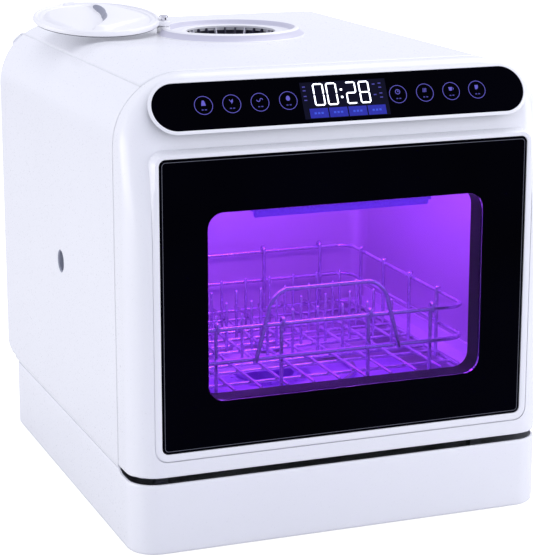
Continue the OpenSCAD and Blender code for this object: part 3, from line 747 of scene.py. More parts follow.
def flat_shape(b, pts, h0, h1):
    """A thin raised figure on the strip from a convex or simple outline."""
    p = np.array(pts, float)
    lo = on_slant(p[:, 0], p[:, 1], h0)
    hi = on_slant(p[:, 0], p[:, 1], h1)
    m = len(p)
    area = 0.5 * float(np.sum(p[:, 0] * np.roll(p[:, 1], -1) - np.roll(p[:, 0], -1) * p[:, 1]))
    idx = list(range(m)) if area > 0 else list(reversed(range(m)))
    F = [tuple(m + i for i in idx), tuple(reversed(idx))]
    for k in range(m):
        i, j = idx[k], idx[(k + 1) % m]
        F.append((i, j, m + j, m + i))
    b.add(np.concatenate([lo, hi]), F)


def ring(b, cx, cy, r, w, h0=0.36, h1=0.46, n=48, a0=0, a1=360):
    full = a1 - a0 >= 360
    t = np.radians(np.linspace(a0, a1, n, endpoint=not full))
    rows = []
    for rr, h in ((r - w, h0), (r - w, h1), (r, h1), (r, h0)):
        rows.append(on_slant(cx + rr * np.cos(t), cy + rr * np.sin(t), h))
    V, F = grid(np.array(rows), cu=True, cv=full)
    b.add(V, F)


def bar(b, x0, y0, x1, y1, w, h0=0.36, h1=0.47):
    d = np.array([x1 - x0, y1 - y0], float)
    d /= np.linalg.norm(d)
    n = np.array([-d[1], d[0]]) * w / 2
    flat_shape(b, [(x0 + n[0], y0 + n[1]), (x0 - n[0], y0 - n[1]), (x1 - n[0], y1 - n[1]), (x1 + n[0], y1 + n[1])], h0, h1)


TOUCH = (-135.2, -108.5, -81.6, -54.3, 54.3, 81.6, 108.5, 135.2)
b = Build()
for x in TOUCH:
    ring(b, x, 0.3, 8.75, 0.5)
fix_normals(b.obj("touch_rings", M["icons"], "door", angle=30))
b = Build()
d = Build()
for i, x in enumerate(TOUCH):
    y = 2.6
    if i == 0:      # bottle
        flat_shape(b, [(x - 2.1, y - 2.6), (x + 2.1, y - 2.6), (x + 1.7, y), (x + 0.9, y + 2.3), (x - 0.9, y + 2.3), (x - 1.7, y)], .36, .46)
    elif i == 1:    # leaf
        flat_shape(b, [(x - 0.2, y - 2.4), (x + 1.4, y - 0.3), (x + 1.6, y + 2.2), (x - 0.3, y + 0.8)], .36, .46)
        bar(b, x - 1.8, y + 1.8, x - 0.4, y - 0.6, 0.6)
    elif i == 2:    # wave
        ring(b, x - 1.2, y, 1.9, 0.7, n=20, a0=180, a1=359)
        ring(b, x + 1.6, y - 0.2, 1.6, 0.6, n=20, a0=0, a1=180)
    elif i == 3:    # drop
        t = np.linspace(0, 2 * math.pi, 16, endpoint=False)
        flat_shape(b, [(x + 2.0 * math.cos(k), y - 0.5 + 2.0 * math.sin(k) * (1.0 if math.sin(k) < 0.4 else 1.4)) for k in t], .36, .46)
    elif i == 4:    # clock
        ring(b, x, y, 2.5, 0.6, n=24)
        bar(b, x, y, x, y + 1.5, 0.5)
        bar(b, x, y, x + 1.2, y, 0.5)
    elif i == 5:    # steam
        for k in (-1.4, 0, 1.4):
            bar(b, x + k - 0.3, y - 1.8, x + k + 0.3, y + 2.0, 0.6)
    elif i == 6:    # cup
        flat_shape(b, [(x - 2.2, y + 1.6), (x - 1.5, y - 1.8), (x + 1.0, y - 1.8), (x + 1.6, y + 1.6)], .36, .46)
        ring(b, x + 1.9, y, 1.1, 0.5, n=16, a0=-90, a1=90)
    else:           # start
        flat_shape(b, [(x - 1.6, y + 2.2), (x - 1.6, y - 1.9), (x + 0.4, y - 1.9), (x + 1.7, y), (x + 1.7, y + 2.2)], .36, .46)
    for k in (-1, 1):
        bar(d, x + k * 1.5 - 0.9, -3.9, x + k * 1.5 + 0.9, -3.9, 0.9)
fix_normals(b.obj("touch_symbols", M["icons"], "door", angle=30))
fix_normals(d.obj("touch_marks", M["icons_dim"], "door", angle=30))

# display: window, four digits with a colon, a row of blocks
b = Build()
flat_shape(b, [(-41, 16.4), (-41, -18.6), (43.5, -18.6), (43.5, 16.4)], 0.3, 0.40)
fix_normals(b.obj("display_window", M["window_blue"], "door", angle=30))
SEG = {"0": "abcdef", "2": "abdeg", "8": "abcdefg"}
b = Build()
dw, dh, sw = 10.4, 21.4, 1.3
y_mid = 4.3


def seg7(b, x0, ch):
    x1, t, m2, bt = x0 + dw, y_mid + dh / 2, y_mid, y_mid - dh / 2
    g = 0.25
    h = sw / 2

    def horiz(y, lo, hi):
        flat_shape(b, [(lo + g + h, y), (lo + g + 2 * h, y + h), (hi - g - 2 * h, y + h), (hi - g - h, y), (hi - g - 2 * h, y - h), (lo + g + 2 * h, y - h)], 0.4, 0.5)

    def vert(x, lo, hi):
        flat_shape(b, [(x, lo + g + h), (x + h, lo + g + 2 * h), (x + h, hi - g - 2 * h), (x, hi - g - h), (x - h, hi - g - 2 * h), (x - h, lo + g + 2 * h)], 0.4, 0.5)

    for s in SEG[ch]:
        if s == "a": horiz(t - h, x0, x1)
        if s == "g": horiz(m2, x0, x1)
        if s == "d": horiz(bt + h, x0, x1)
        if s == "f": vert(x0 + h, m2 - h, t)
        if s == "b": vert(x1 - h, m2 - h, t)
        if s == "e": vert(x0 + h, bt, m2 + h)
        if s == "c": vert(x1 - h, bt, m2 + h)


for x0, ch in ((-29.0, "0"), (-16.1, "0"), (2.9, "2"), (16.2, "8")):
    seg7(b, x0, ch)
for yy in (y_mid + 3.6, y_mid - 3.6):
    t = np.linspace(0, 2 * math.pi, 14, endpoint=False)
    flat_shape(b, [(-1.4 + 1.1 * math.cos(k), yy + 1.1 * math.sin(k)) for k in t], 0.4, 0.5)
fix_normals(b.obj("display_digits", M["digits"], "door", angle=30))
b = Build()
c = Build()
for k in range(4):
    x0 = -35.5 + k * 19.1
    flat_shape(b, [(x0, -8.8), (x0, -17.9), (x0 + 17.9, -17.9), (x0 + 17.9, -8.8)], 0.4, 0.47)
    for j in range(3):
        bar(c, x0 + 4.2 + j * 3.4, -13.4, x0 + 6.4 + j * 3.4, -13.4, 1.9, 0.46, 0.5)
fix_normals(b.obj("display_blocks", M["blocks"], "door", angle=30))
fix_normals(c.obj("display_block_bars", M["blocks_text"], "door", angle=30))
b = Build()
for x, y in ((-37.2, 12.2), (-37.2, 8.6), (-37.2, 3.2), (-37.2, -0.6), (31.6, 11.4), (31.6, 1.2), (37.6, 12), (37.6, 8), (37.6, 2.4), (37.6, -1.6)):
    bar(b, x - 1.6, y, x + 1.2, y, 1.0)
fix_normals(b.obj("display_marks", M["icons_dim"], "door", angle=30))

# ------------------------------------------------------------------ side panels
SPLIT = 54.0


def lower_edge(y):
    """Lower edge of the side panels: straight, then round the rear overhang."""
    y = np.asarray(y, float)
    return np.where(y < 446.4, 71.3, np.where(y < 457, 74.0, 104 - np.sqrt(np.maximum(0, 900 - np.clip(y - 457, 0, 30) ** 2))))


def side_panel(s, name, node):
    ys = np.concatenate([np.linspace(51, 200, 14, endpoint=False), [200, 210, 220], np.linspace(225.7, 251.7, 9), [258, 270, 285], np.linspace(300, 440, 10), [446.3, 446.5, 450, 457],
                         457 + 30 * np.sin(np.radians(np.linspace(6, 90, 15)))])
    ys = np.unique(ys)
    b = Build()
    n_wrap = 8
    cols = []
    for y in ys:
        zb = float(lower_edge(y))
        prof = [(-192.5, zb), (-203, zb), (-207.6, zb), (-209.3, zb + 0.7), (-210, zb + 2.6)]
        zs = np.concatenate([np.linspace(max(zb + 6, 80), 205, 10, endpoint=False), [205, 210], np.linspace(215.5, 241.5, 9), [248, 256], np.linspace(266, 374, 10)])
        prof += [(-210, max(z, zb + 3.0 + 0.05 * i)) for i, z in enumerate(zs)]
        for k in range(1, 15):
            t = math.radians(SPLIT * k / 14)
            prof.append((-144 - 66 * math.cos(t), 374 + 66 * math.sin(t)))
        cols.append([(x, y, z) for x, z in prof])
    # wrap round the rear corner
    lastp = np.array(cols[-1])
    for k in range(1, n_wrap + 1):
        q = lastp.copy()
        q[:, 0] = np.minimum(q[:, 0] + (18.0 * k / n_wrap), -192.2 + 0 * q[:, 0])
        q[:, 0] = np.where(lastp[:, 0] > -192.2, lastp[:, 0], q[:, 0])
        cols.append([tuple(v) for v in q])
    P = np.array(cols)
    Q = project(P[:, 4:], form)
    wall = P[:, 4:, 1] < 480
    P[:, 4:] = Q
    P[:, :4] = P[:, :4]
    # keep the lower lip in step with the rounded rear corner
    for j in range(4):
        P[:, j, 1] = P[:, 4, 1]
        for i in range(len(ys), len(P)):
            P[i, j] = P[i, 4] + np.array([0.0, -2.4 + 0.6 * j, 0.15])
        P[:, j, 0] = np.maximum(P[:, j, 0], P[:, 4, 0] + (0.7, 2.4, 7, 17.5)[3 - j])
    V = P.copy()
    if s > 0:
        V[..., 0] *= -1
    v, f = grid(V)
    f = orient(v, f, lambda c: np.array([c[0], 0.3 * (c[1] - 240), 0.3 * (c[2] - 220)]))
    ob = add_mesh(name, v, f, M["white"], "housing", node, angle=45)
    solidify(ob, 2.3)
    return ob


pl = side_panel(-1, "left_side_panel", "side_panel_left")
side_panel(1, "right_side_panel", "side_panel_right")


def cyl(name, p0, p1, r, n=64):
    """A plain cutter between two points, mm."""
    a, b_ = np.array(p0, float), np.array(p1, float)
    V, F = tube([a, b_], r, n, caps=False)
    return add_mesh(name, V, F, None, None)


def cutter(ob, p0, p1, r, n=64):
    k = cyl("cutter", p0, p1, r, n)
    fix_normals(k)
    boolean(ob, k)


PY, PZ = 238.7, 228.5
cutter(pl, (-216, PY, PZ), (-200, PY, PZ), 11.6)
pl.data.set_sharp_from_angle(angle=math.radians(45))

# round side port: grey rim, recess, upright slats
b = Build()


def lathe_x(profile, cy, cz, n=64, base=-210.0):
    """Revolve (r, depth) about an axis along X; depth runs into the body."""
    a = np.linspace(0, 2 * math.pi, n, endpoint=False)
    P = np.array([[(base + d_, cy + r * math.cos(t), cz + r * math.sin(t)) for r, d_ in profile] for t in a])
    return grid(P, cu=True)


b.add(*lathe_x([(12.9, 1.2), (12.9, 0.35), (12.3, 0.12), (11.2, 0.1), (10.4, 0.5), (10.0, 1.4), (9.8, 4.6), (0.01, 4.6)], PY, PZ))
b.add(*lathe_x([(0.01, 5.0), (12.9, 5.0), (12.9, 1.2)], PY, PZ))
port = b.obj("side_port_ring", M["grey"], "housing", "side_port", angle=40, weld=0.005)
fix_normals(port)
b = Build()
for k in (-6.3, -2.1, 2.1, 6.3):
    hh = math.sqrt(9.7 ** 2 - k * k)
    rows = []
    for z in np.linspace(-hh, hh, 9):
        rows.append([(-210 + 3.2, PY + k - 0.9, PZ + z), (-210 + 1.3, PY + k - 0.75, PZ + z), (-210 + 1.05, PY + k, PZ + z), (-210 + 1.3, PY + k + 0.75, PZ + z), (-210 + 3.2, PY + k + 0.9, PZ + z), (-210 + 4.5, PY + k, PZ + z)])
    V, F = grid(np.array(rows), cv=True)
    b.add(V, list(F) + [tuple(range(6)), tuple(48 + i for i in reversed(range(6)))])
fix_normals(b.obj("side_port_slats", M["mid_grey"], "housing", angle=40))

# ------------------------------------------------------------------ top cover
xa = 144 + 66 * math.cos(math.radians(SPLIT))


def arc_x(t):
    return 144 + 66 * math.cos(math.radians(t)), 374 + 66 * math.sin(math.radians(t))


left = [(-arc_x(t)[0], arc_x(t)[1]) for t in np.linspace(SPLIT + 0.15, 90, 11)]
flat_x = list(np.linspace(-144, -80, 8)[1:-1]) + list(np.linspace(-80, 80, 17)) + list(np.linspace(80, 144, 8)[1:-1])
xs = left + [(x, 440.0) for x in flat_x] + [(-x, z) for x, z in reversed(left)]
ys = list(np.linspace(51, 218, 18)[:-1]) + list(np.linspace(218, 378, 17)) + list(np.linspace(378, 475, 12)[1:]) + [478, 481, 484, 487]
P = np.array([[(x, y, z) for x, z in xs] for y in ys])
tail = []
for k in range(1, 7):
    q = P[-1].copy()
    q[:, 2] = np.maximum(q[:, 2] - 13.0 * k / 6, 427.8)
    tail.append(q)
P = np.concatenate([P, np.array(tail)])
P = project(P, form)
P[..., 2] = np.maximum(P[..., 2], 427.75)
nu, nv = P.shape[:2]
i0, i1 = 17, 33
j0 = len(left) + 6
j1 = j0 + 16
V = P.reshape(-1, 3)
F = [f for f in grid(P)[1] if not (i0 <= f[0] // nv < i1 and j0 <= f[0] % nv < j1)]
b = Build()
b.add(V, F)
# ring between the square and the round opening
sq = [(i, j0) for i in range(i0, i1)] + [(i1, j) for j in range(j0, j1)] + [(i, j1) for i in range(i1, i0, -1)] + [(i0, j) for j in range(j1, j0, -1)]
sqp = np.array([P[i, j] for i, j in sq])
dirs = sqp[:, :2] - np.array([-7.0, 298.0])
dirs /= np.linalg.norm(dirs, axis=1)[:, None]
cir = np.column_stack([dirs[:, 0] * 55 - 7, 298 + dirs[:, 1] * 55, np.full(len(sq), 440.0)])
rows = np.array([sqp * (1 - s) + cir * s for s in (0, 0.35, 0.7, 1)])
v2, f2 = grid(rows, cv=True)
b.add(v2, f2)
top = b.obj("top_shell", M["white"], "housing", "top_cover", angle=45, weld=0.01)
bm = bmesh.new()
bm.from_mesh(top.data)
bmesh.ops.recalc_face_normals(bm, faces=bm.faces)
up = sum((f.normal.z * f.calc_area() for f in bm.faces))
if up < 0:
    bmesh.ops.reverse_faces(bm, faces=bm.faces)
bm.to_mesh(top.data)
bm.free()
solidify(top, 2.3)

# front wall under the top cover, seen when the door is open
arc = [(144 + 63.6 * math.cos(t), 374 + 63.6 * math.sin(t)) for t in np.linspace(math.asin(53.2 / 63.6), math.pi / 2, 12)]
wall = arc + [(-x, z) for x, z in reversed(arc)]
lo = np.array([(x, 52.2, z) for x, z in wall])
hi = np.array([(x, 54.6, z) for x, z in wall])
V, F = grid(np.array([lo, hi]), cv=True)
b = Build()
b.add(V, list(F) + [tuple(range(len(wall))), tuple(len(wall) + i for i in reversed(range(len(wall))))])
fix_normals(b.obj("top_front_wall", M[SLOT_MAT[slots["front_frame"]]], "housing", angle=30))

# ------------------------------------------------------------------ base tray
plan_n = (50, 60, 16)
basepl = rrect_pts(-HW, 0.0, HW, 446.4, (28, 15, 15, 28), plan_n)       # x, y outline
bn = loop_normals(basepl)


def base_row(off, z):
    q = basepl + bn * off
    return np.column_stack([q[:, 0], q[:, 1], np.full(len(q), float(z)) if np.isscalar(z) else z])


ztop = 68.0 + 3.0 * np.clip((basepl[:, 1] - 44.0) / 7.0, 0, 1) ** 2
rows = [base_row(-12, 0.0), base_row(-3.2, 0.0), base_row(-1.6, 0.35), base_row(-0.5, 1.3), base_row(-0.1, 3.0), base_row(0, 6.0), base_row(0, 30.0),
        base_row(0, ztop - 2.6), base_row(-0.12, ztop - 1.4), base_row(-0.6, ztop - 0.4), base_row(-1.5, ztop), base_row(-2.6, ztop), base_row(-3.0, ztop - 0.6), base_row(-3.0, 3.0)]
q = basepl.copy()
V, F = grid(np.array(rows), cv=True)
m = len(basepl)
F = list(F) + [tuple((len(rows) - 1) * m + i for i in range(m)), tuple(reversed(range(m)))]
base = add_mesh("base_shell", V, F, M["white"], "housing", "base_tray", angle=40)
fix_normals(base)
for x, z, r in ((-70, 52, 8.0), (-150, 45, 10.0), (150, 45, 9.0)):
    cutter(base, (x, 438, z), (x, 450, z), r, 32)
base.data.set_sharp_from_angle(angle=math.radians(40))

# ------------------------------------------------------------------ fill opening
FX = -7.0
FY = 298.0
LZ = 448.0
prof = [(51.0, 430), (54.0, 430), (54.0, 440.02), (76.9, 440.02), (76.9, 440.4), (76.2, 440.9), (74.6, 441.9), (72.4, 443.9), (70.9, 446.2), (70.0, 447.5),
        (69.2, 447.95), (67.8, 448.0), (66.4, 447.7), (65.5, 446.9), (64.7, 444.9), (63.8, 443.7), (62.4, 443.1), (60.0, 442.9), (53.0, 442.75), (51.8, 442.6), (51.0, 441.9), (51.0, 430)]
b = Build()
b.add(*lathe(prof, FX, FY, 128))
collar = b.obj("collar_ring", M["white_lid"], "housing", "fill_collar", angle=40, weld=0.005)
fix_normals(collar)
# slot 1: painted shade, a darker lavender on the collar's inner wall and its outer lip slope
collar.data.materials.append(M["collar_wall_painted_shade"])
# slot 2: painted shade, the dark strainer material laid on the collar's bore and inner ledge
collar.data.materials.append(M["strainer_dark_and_bore_shade"])
for f in collar.data.polygons:
    c = f.center
    rad = math.hypot(c[0] - FX / 1000, c[1] + 0.2435 - FY / 1000)
    if 0.0615 < rad < 0.0662 or (0.0705 < rad < 0.0762 and c[2] > 0.4453):
        f.material_index = 1
    elif rad < 0.0525 and c[2] < 0.4472:
        f.material_index = 2
RK = math.radians(3.75)
LA = math.radians(159.4)
PIN = np.array([FX + 69.4 * math.cos(LA), FY + 69.4 * math.sin(LA), 448.2])
PN = np.array([0, -math.sin(RK), math.cos(RK)])
PU = np.array([1.0, 0, 0])
PV = np.cross(PN, PU)


def pin_lathe(profile, n=40):
    a = np.linspace(0, 2 * math.pi, n, endpoint=False)
    P = np.array([[PIN + PN * h + r * (PU * math.cos(t) + PV * math.sin(t)) for r, h in profile] for t in a])
    return grid(P, cu=True)


b = Build()
b.add(*pin_lathe([(3.0, -0.05), (6.3, -0.05), (6.8, -0.4), (7.0, -1.2), (7.0, -7.4), (3.0, -7.4), (3.0, -0.05)]))
fix_normals(b.obj("pivot_boss", M["white_lid"], "housing", angle=40, weld=0.005))
b = Build()
b.add(*pin_lathe([(0.01, -6), (2.95, -6), (2.95, 9.3), (4.4, 9.3), (4.9, 9.6), (5.0, 10.2), (4.6, 10.9), (3.4, 11.25), (0.01, 11.3)]))
fix_normals(b.obj("pivot_pin", M["bright"], "housing", "lid_pivot_pin", angle=40, weld=0.005))

# strainer: rim, ribs that taper inwards, floor ring, mesh floor
b = Build()
b.add(*lathe([(46, 441.5), (46, 443.5), (46.6, 443.9), (53.2, 443.9), (53.9, 443.5), (53.9, 442.8), (50.7, 442.7), (50.7, 438.7), (48.2, 438.7), (48.0, 441.5), (46, 441.5)], FX, FY, 128))
fix_normals(b.obj("strainer_rim", M["white_lid"], "housing", angle=40, weld=0.002))
b = Build()
light = Build()
b.add(*lathe([(27.2, 408), (31.2, 408), (31.2, 412.3), (30.7, 413), (29.0, 413.2), (27.2, 412.2), (27.2, 408)], FX, FY, 96))
b.add(*lathe([(0.01, 408.2), (27.5, 408.2), (27.5, 409.8), (0.01, 409.8)], FX, FY, 64))
for k in range(28):
    a = 2 * math.pi * k / 28
    er = np.array([math.cos(a), math.sin(a), 0])
    et = np.array([-math.sin(a), math.cos(a), 0])
    c0 = np.array([FX, FY, 0])
    rows = []
    for s in np.linspace(0, 1, 7):
        r_in = 28.2 + (46.6 - 28.2) * s
        r_out = 31.0 + (50.4 - 31.0) * s
        z = 409.5 + (442.1 - 409.5) * s
        w = 0.75 + 0.35 * s
        rows.append([c0 + er * r_in - et * w * 0.6 + np.array([0, 0, z]), c0 + er * (r_in - 0.35) + np.array([0, 0, z]), c0 + er * r_in + et * w * 0.6 + np.array([0, 0, z]),
                     c0 + er * r_out + et * w + np.array([0, 0, z]), c0 + er * r_out - et * w + np.array([0, 0, z])])
    V, F = grid(np.array(rows), cv=True)
    (light if k % 3 == 1 else b).add(V, list(F) + [tuple(range(5)), tuple(30 + i for i in reversed(range(5)))])
fix_normals(light.obj("strainer_light_ribs", M["liner"], "housing", angle=40, weld=0.002))
stn = b.obj("strainer_basket", M["strainer_dark_and_bore_shade"], "housing", "fill_strainer", angle=40, weld=0.002)
fix_normals(stn)


# lid, drawn closed on the collar and turned half a turn about the pin
def half_turn(p):
    v = np.asarray(p, float).reshape(-1, 3) - PIN
    return PIN + 2 * (v @ PN)[:, None] * PN - v


L = LZ
lid_prof = [(0.01, L + 1.6), (58.4, L + 1.6), (64.0, L + 1.6), (64.9, L + 2.0), (65.4, L + 2.8), (65.5, L + 3.8), (65.3, L + 5.6), (64.9, L + 6.7), (64.0, L + 7.4), (62.9, L + 7.6), (61.9, L + 7.3),
            (61.3, L + 6.5), (60.9, L + 5.9), (60.0, L + 5.7), (58.2, L + 6.2), (57.4, L + 6.3), (56.6, L + 6.0), (55.8, L + 5.2), (54.2, L + 4.7), (50.5, L + 4.35), (40, L + 4.2), (0.01, L + 4.2)]
b = Build()
V, F = lathe(lid_prof, FX, FY, 144)
b.add(half_turn(V), F)
# hinge lug
ca, sa = math.cos(LA), math.sin(LA)
out = lambda d, w: (FX + d * ca - w * sa, FY + d * sa + w * ca)
lug = [out(69.4 + 7 * math.cos(math.radians(t)), 7 * math.sin(math.radians(t))) for t in np.linspace(-90, 90, 17)]
lug += [out(60.5, 7.5), out(60.5, -7.5)]
lo = np.array([(x, y, L + 1.9) for x, y in lug])
lo2 = np.array([(x, y, L + 5.6) for x, y in lug])
cen = np.array([*out(67, 0), 0])
hi = np.array([((x - cen[0]) * 0.9 + cen[0], (y - cen[1]) * 0.9 + cen[1], L + 6.3) for x, y in lug])
V, F = grid(np.array([lo, lo2, hi]), cv=True)
m = len(lug)
b.add(half_turn(V), list(F) + [tuple(range(m)), tuple(2 * m + i for i in reversed(range(m)))])
lid = b.obj("lid_disc", M["white_lid"], "lid", "fill_lid", angle=32, weld=0.004)
fix_normals(lid)

# grip: the dish falls to a curved step, behind which a raised leaf runs out to the rim
def step_x(y):
    return 11.5 - 12.5 * ((y - 6.0) / 40.0) ** 2 + 0.3 * np.maximum(0, y - 6.0) - 0.08 * np.maximum(0, 6.0 - y)


def ease(v):
    v = np.clip(v, 0, 1)
    return v * v * (3 - 2 * v)


def wave(x, y):
    d = x - step_x(y)
    low = 4.5 + 3.6 * ease(-d / 52.0)
    near = ((x - 16) * 26 - (y + 32) * 32) / math.hypot(26, 32)
    far = ((x - 35.5) * -33 - (y - 28) * 26) / math.hypot(33, 26)
    leaf = ease(1 + (-near) / 5.5) * ease(1 + far / 5.5)
    high = 4.6 + 5.2 * (1 - 0.75 * ease(d / 50.0)) * (0.35 + 0.65 * leaf)
    t = ease((d + 4.4) / 4.4)
    h = low * (1 - t) + high * t
    rim = ease((np.hypot(x, y) - 48.0) / 7.5)
    return h * (1 - rim) + 4.9 * rim


rr = np.concatenate([[0.01], np.linspace(1.2, 55.6, 52)])
aa = np.linspace(0, 2 * math.pi, 176, endpoint=False)
top_r = np.array([[(q * math.cos(t), q * math.sin(t)) for q in rr] for t in aa])
hh = wave(top_r[..., 0], top_r[..., 1])
P3 = np.dstack([FX - top_r[..., 0], FY - top_r[..., 1], L + hh])
low = P3[:, -1:].copy(); low[..., 2] = L + 3.6
mid = P3[:, :1].copy(); mid[..., 2] = L + 3.6
P3 = np.concatenate([P3, low, mid], axis=1)
V, F = grid(P3, cu=True)
grip = Build().add(half_turn(V), F).obj("lid_grip", M["white_lid"], "lid", angle=60, weld=0.02)
fix_normals(grip)
# thin grey strip on the step: painted shade on the step's wall
ky = np.linspace(-31, 45, 44)
rows = []
for y in ky:
    k = min(1.0, (45 - y) / 14, (y + 31) / 14) ** 0.5 if -31 < y < 45 else 0.0
    row = []
    for w in np.linspace(-1, 1, 9):
        x = step_x(y) - 2.2 + w * (0.25 + 2.1 * k)
        row.append((FX - x, FY - y, L + float(wave(x, y)) + 0.14))
    rows.append(row)
V, F = grid(np.array(rows))
step_shade_strip = Build().add(half_turn(V), [tuple(f) for f in F]).obj("lid_grip_painted_shade_strip", M["grey"], "lid", angle=60)
bm = bmesh.new(); bm.from_mesh(step_shade_strip.data)
bmesh.ops.recalc_face_normals(bm, faces=bm.faces)
if sum(f.normal.z * f.calc_area() for f in bm.faces) < 0:
    bmesh.ops.reverse_faces(bm, faces=bm.faces)
bm.to_mesh(step_shade_strip.data); bm.free()
solidify(step_shade_strip, 0.3)
apply_mods(step_shade_strip)
# finger tab on the rim
b = Build()
rows = []
for w in np.linspace(-1, 1, 13):
    t = math.radians(101.5) + w * 0.13
    er = np.array([math.cos(t), math.sin(t)])
    g = 1 - abs(w) ** 6
    z1 = 6.6 + 2.2 * g
    rows.append([(FX - er[0] * q, FY - er[1] * q, L + z) for q, z in ((60.6, 5.2), (60.9, z1 - 0.7), (61.7, z1), (63.4, z1), (64.4, z1 - 0.8), (64.7, 5.2))])
V, F = grid(np.array(rows))
b.add(half_turn(V), [tuple(f) for f in F] + [tuple(range(6)), tuple(72 + i for i in reversed(range(6)))])
fix_normals(b.obj("lid_tab", M["white_lid"], "lid", angle=50))
b = Build()
V, F = lathe([(58.7, L + 1.7), (63.5, L + 1.7), (63.4, L + 0.8), (62.6, L + 0.55), (59.6, L + 0.55), (58.8, L + 0.8), (58.7, L + 1.7)], FX, FY, 128)
b.add(half_turn(V), F)
fix_normals(b.obj("lid_seal_ring", M["gasket"], "lid", "lid_seal", angle=40, weld=0.004))

# ------------------------------------------------------------------ tub
sect = lambda inset, y: np.column_stack([
    (lambda q: np.column_stack([q[:, 0], np.full(len(q), y), q[:, 1]]))(
        rrect_pts(-176.5 + inset, 96.5 + inset, 176.5 - inset, 333.5 - inset, (max(20.5 - inset * 0.6, 6),) * 4, (20, 24, 10)))])
rows = [sect(-1.5, 54.5), sect(-1.0, 55.0), sect(-0.2, 55.4), sect(0, 56.5), sect(0, 120), sect(0, 200), sect(0, 300), sect(0, 352.5)]
for k in range(1, 9):
    t = math.radians(90 * k / 8)
    rows.append(sect(18 * (1 - math.cos(t)), 352.5 + 18 * math.sin(t)))
for ins in (40, 70, 100):
    rows.append(sect(ins, 370.5))
P = np.array(rows)
V, F = grid(P, cv=True)
m = P.shape[1]
F = list(F) + [tuple((len(rows) - 1) * m + i for i in range(m))]
tub = add_mesh("tub_liner", V, F, M["tub"], "housing", "tub", angle=50)
bm = bmesh.new(); bm.from_mesh(tub.data)
bmesh.ops.recalc_face_normals(bm, faces=bm.faces)
# the open side faces the door, so the inside is the seen side
s = sum((f.normal.y * f.calc_area()) for f in bm.faces if f.calc_center_median().y > 0.12)
if s > 0:
    bmesh.ops.reverse_faces(bm, faces=bm.faces)
bm.to_mesh(tub.data); bm.free()
solidify(tub, 1.4)
cutter(tub, (0, 212, 88), (0, 212, 104), 46, 96)
for sx in (-1, 1):
    cutter(tub, (sx * 9.41, 301.5, 88), (sx * 9.41, 301.5, 104), 4.2, 24)
tub.data.set_sharp_from_angle(angle=math.radians(40))

# ------------------------------------------------------------------ rack
RY, RD, RX = 52.2, 290.0, 147.8


def loop(z, r=2.2):
    pts = fillet3([(-RX, RY, z), (RX, RY, z), (RX, RY + RD, z), (-RX, RY + RD, z)], 18, 10, closed=True)
    return tube(pts, r, 12, closed=True)


b = Build()
for z in (131.2, 163.0, 195.0):
    b.add(*loop(z))
for x in (-111, -45, 45, 111):
    for sgn, y0 in ((1, RY + 4.12), (-1, RY + RD - 4.12)):
        # upright wire that hooks over the top rail
        pts = fillet3([(x, y0, 129.4), (x, y0, 200.4), (x, y0 - sgn * 6.4, 200.4), (x, y0 - sgn * 6.4, 193.5)], 2.9, 6)
        b.add(*tube(pts, 1.9, 10))
for sgn in (-1, 1):
    for y in (110, 175, 240, 300):
        x0 = sgn * (RX - 4.12)
        pts = fillet3([(x0, y, 129.4), (x0, y, 200.2), (x0 + sgn * 2.0, y, 200.2)], 1.9, 5)
        b.add(*tube(pts, 1.9, 10))
b.obj("rack_wires", M["wire"], "rack", "rack_basket", angle=60)
b = Build()
GLOW, GHI = 131.6, 135.02
for y in (80, 118, 158, 208, 258, 305, 140, 185, 230, 275):
    b.add(*tube([(-142.8, y, GLOW), (0, y, GLOW), (142.8, y, GLOW)], 1.8, 10))
for k in range(10):
    x = -121.5 + k * 27
    b.add(*tube([(x, RY - 1, GHI), (x, RY + RD / 2, GHI), (x, RY + RD + 1, GHI)], 1.6, 10))
for y in (140, 185, 230, 275):
    for k in range(9):
        x = -108 + k * 27.0
        b.add(*tube([(x, y, GLOW + 1.8), (x, y, GLOW + 30), (x, y, 183.0)], 1.5, 10))
b.obj("rack_floor_and_tines", M["wire"], "rack", "rack_tines", angle=60)
hy = RY - 2.2 - 2.12
LEG, LA, BL, BA = 58.0, math.radians(15), 17.0, math.radians(52)
axx, azz = 74 - LEG * math.sin(LA), 163 + LEG * math.cos(LA)
txx, tzz = axx - BL * math.sin(BA), azz + BL * math.cos(BA)
pts = fillet3([(-74, hy, 162.0), (-axx, hy, azz), (-txx - 1, hy, tzz), (txx + 1, hy, tzz), (axx, hy, azz), (74, hy, 162.0)], 17, 10)
b = Build()
b.add(*tube(pts, 2.15, 14))
b.obj("rack_grab_handle", M["wire"], "rack", "rack_handle", angle=60)

# ------------------------------------------------------------------ light inside the tub
def area(name, loc, rot, size, energy, color, size_y=None):
    l = bpy.data.lights.new(name, "AREA")
    l.energy = energy
    l.color = color
    l.size = size
    if size_y:
        l.shape = "RECTANGLE"
        l.size_y = size_y
    o = bpy.data.objects.new(name, l)
    SCENE.collection.objects.link(o)
    o.location = loc
    o.rotation_euler = rot
    return o


VIOLET = (0.30, 0.07, 1.0)
def mm(x, y, z):
    return tuple(to_m([[x, y, z]])[0])


area("tub_light_top", mm(0, 200, 330), (0, 0, 0), 0.30, 0.74, (0.50, 0.045, 1.0), 0.24)
area("tub_light_front", mm(0, 58, 322), (math.radians(65), 0, 0), 0.26, 0.62, (0.84, 0.27, 1.0), 0.02)
area("tub_light_low", mm(0, 120, 104), (math.radians(180), 0, 0), 0.28, 0.05, (0.22, 0.0, 1.0), 0.16)

# ------------------------------------------------------------------ studio
fl = bpy.data.meshes.new("floor")
fl.from_pydata([(-8, -8, 0), (8, -8, 0), (8, 8, 0), (-8, 8, 0)], [], [(0, 1, 2, 3)])
floor = bpy.data.objects.new("floor", fl)
SCENE.collection.objects.link(floor)
fm = Mat("floor_white")
fm.ramp_color(fm.noise(0.6, 2.0), (0.70, 0.70, 0.71, 1), (0.73, 0.73, 0.74, 1))
fm.set(Roughness=0.8, Specular_IOR_Level=0.05)
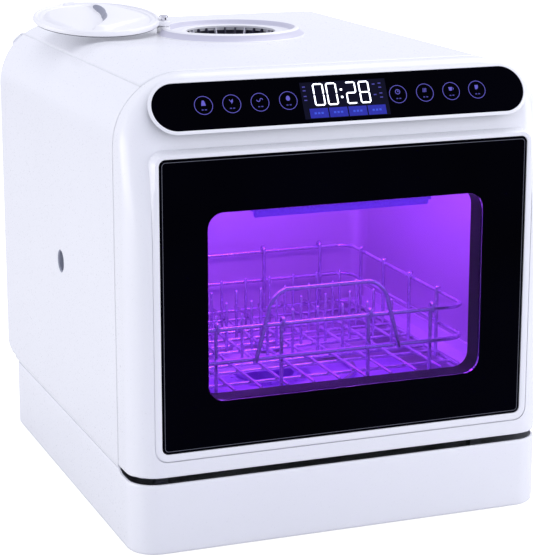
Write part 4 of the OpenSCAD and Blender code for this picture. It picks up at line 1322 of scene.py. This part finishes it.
# the floor shows as white paper, but lights the machine only by what it reflects
lpf = fm.n("ShaderNodeLightPath")
fm.set(Emission_Color=(1, 1, 1, 1))
fm.l(lpf.outputs["Is Camera Ray"], fm.b.inputs["Emission Strength"])
fl.materials.append(fm.m)

w = bpy.data.worlds.new("studio")
SCENE.world = w
w.use_nodes = True
t = w.node_tree
t.nodes.clear()
out = t.nodes.new("ShaderNodeOutputWorld")
bg = t.nodes.new("ShaderNodeBackground")
bgc = t.nodes.new("ShaderNodeBackground")
mix = t.nodes.new("ShaderNodeMixShader")
lp = t.nodes.new("ShaderNodeLightPath")
bgc.inputs["Color"].default_value = (1, 1, 1, 1)
bgc.inputs["Strength"].default_value = 1.0
bg.inputs["Color"].default_value = (0.84, 0.855, 0.985, 1)
bg.inputs["Strength"].default_value = 0.92
t.links.new(lp.outputs["Is Camera Ray"], mix.inputs[0])
t.links.new(bg.outputs[0], mix.inputs[1])
t.links.new(bgc.outputs[0], mix.inputs[2])
t.links.new(mix.outputs[0], out.inputs["Surface"])

area("key_left", (-2.3, 0.25, 0.3), (math.radians(92), 0, math.radians(-92)), 2.2, 18.5, (1.0, 0.985, 0.94), 1.0)
area("top_soft", (1.0, 0.35, 2.05), (0, math.radians(26), 0), 1.4, 13.5, (1, 0.99, 0.94), 1.4)
area("front_fill", (0.9, -2.5, 0.5), (math.radians(88), 0, math.radians(20)), 1.4, 3.4, (0.95, 0.95, 1.0), 1.4)
rs = area("right_soft", (1.3, -0.95, 0.75), (0, 0, 0), 0.7, 5.2, (0.97, 0.97, 1.0), 0.7)
rs.rotation_euler = (Vector((0.15, -0.2, 0.33)) - Vector(rs.location)).to_track_quat("-Z", "Y").to_euler()

SCENE.view_settings.view_transform = "Standard"
SCENE.view_settings.look = "None"

cam = bpy.data.cameras.new("camera")
cam.sensor_fit = "AUTO"
cam.sensor_width = 36.0
cam.lens = 126.94
cam.clip_end = 50
co = bpy.data.objects.new("camera", cam)
SCENE.collection.objects.link(co)
co.location = (-0.70476, -1.87089, 0.6879)
co.rotation_euler = (math.radians(90 - 13.87), 0, math.radians(-20.96))
SCENE.camera = co
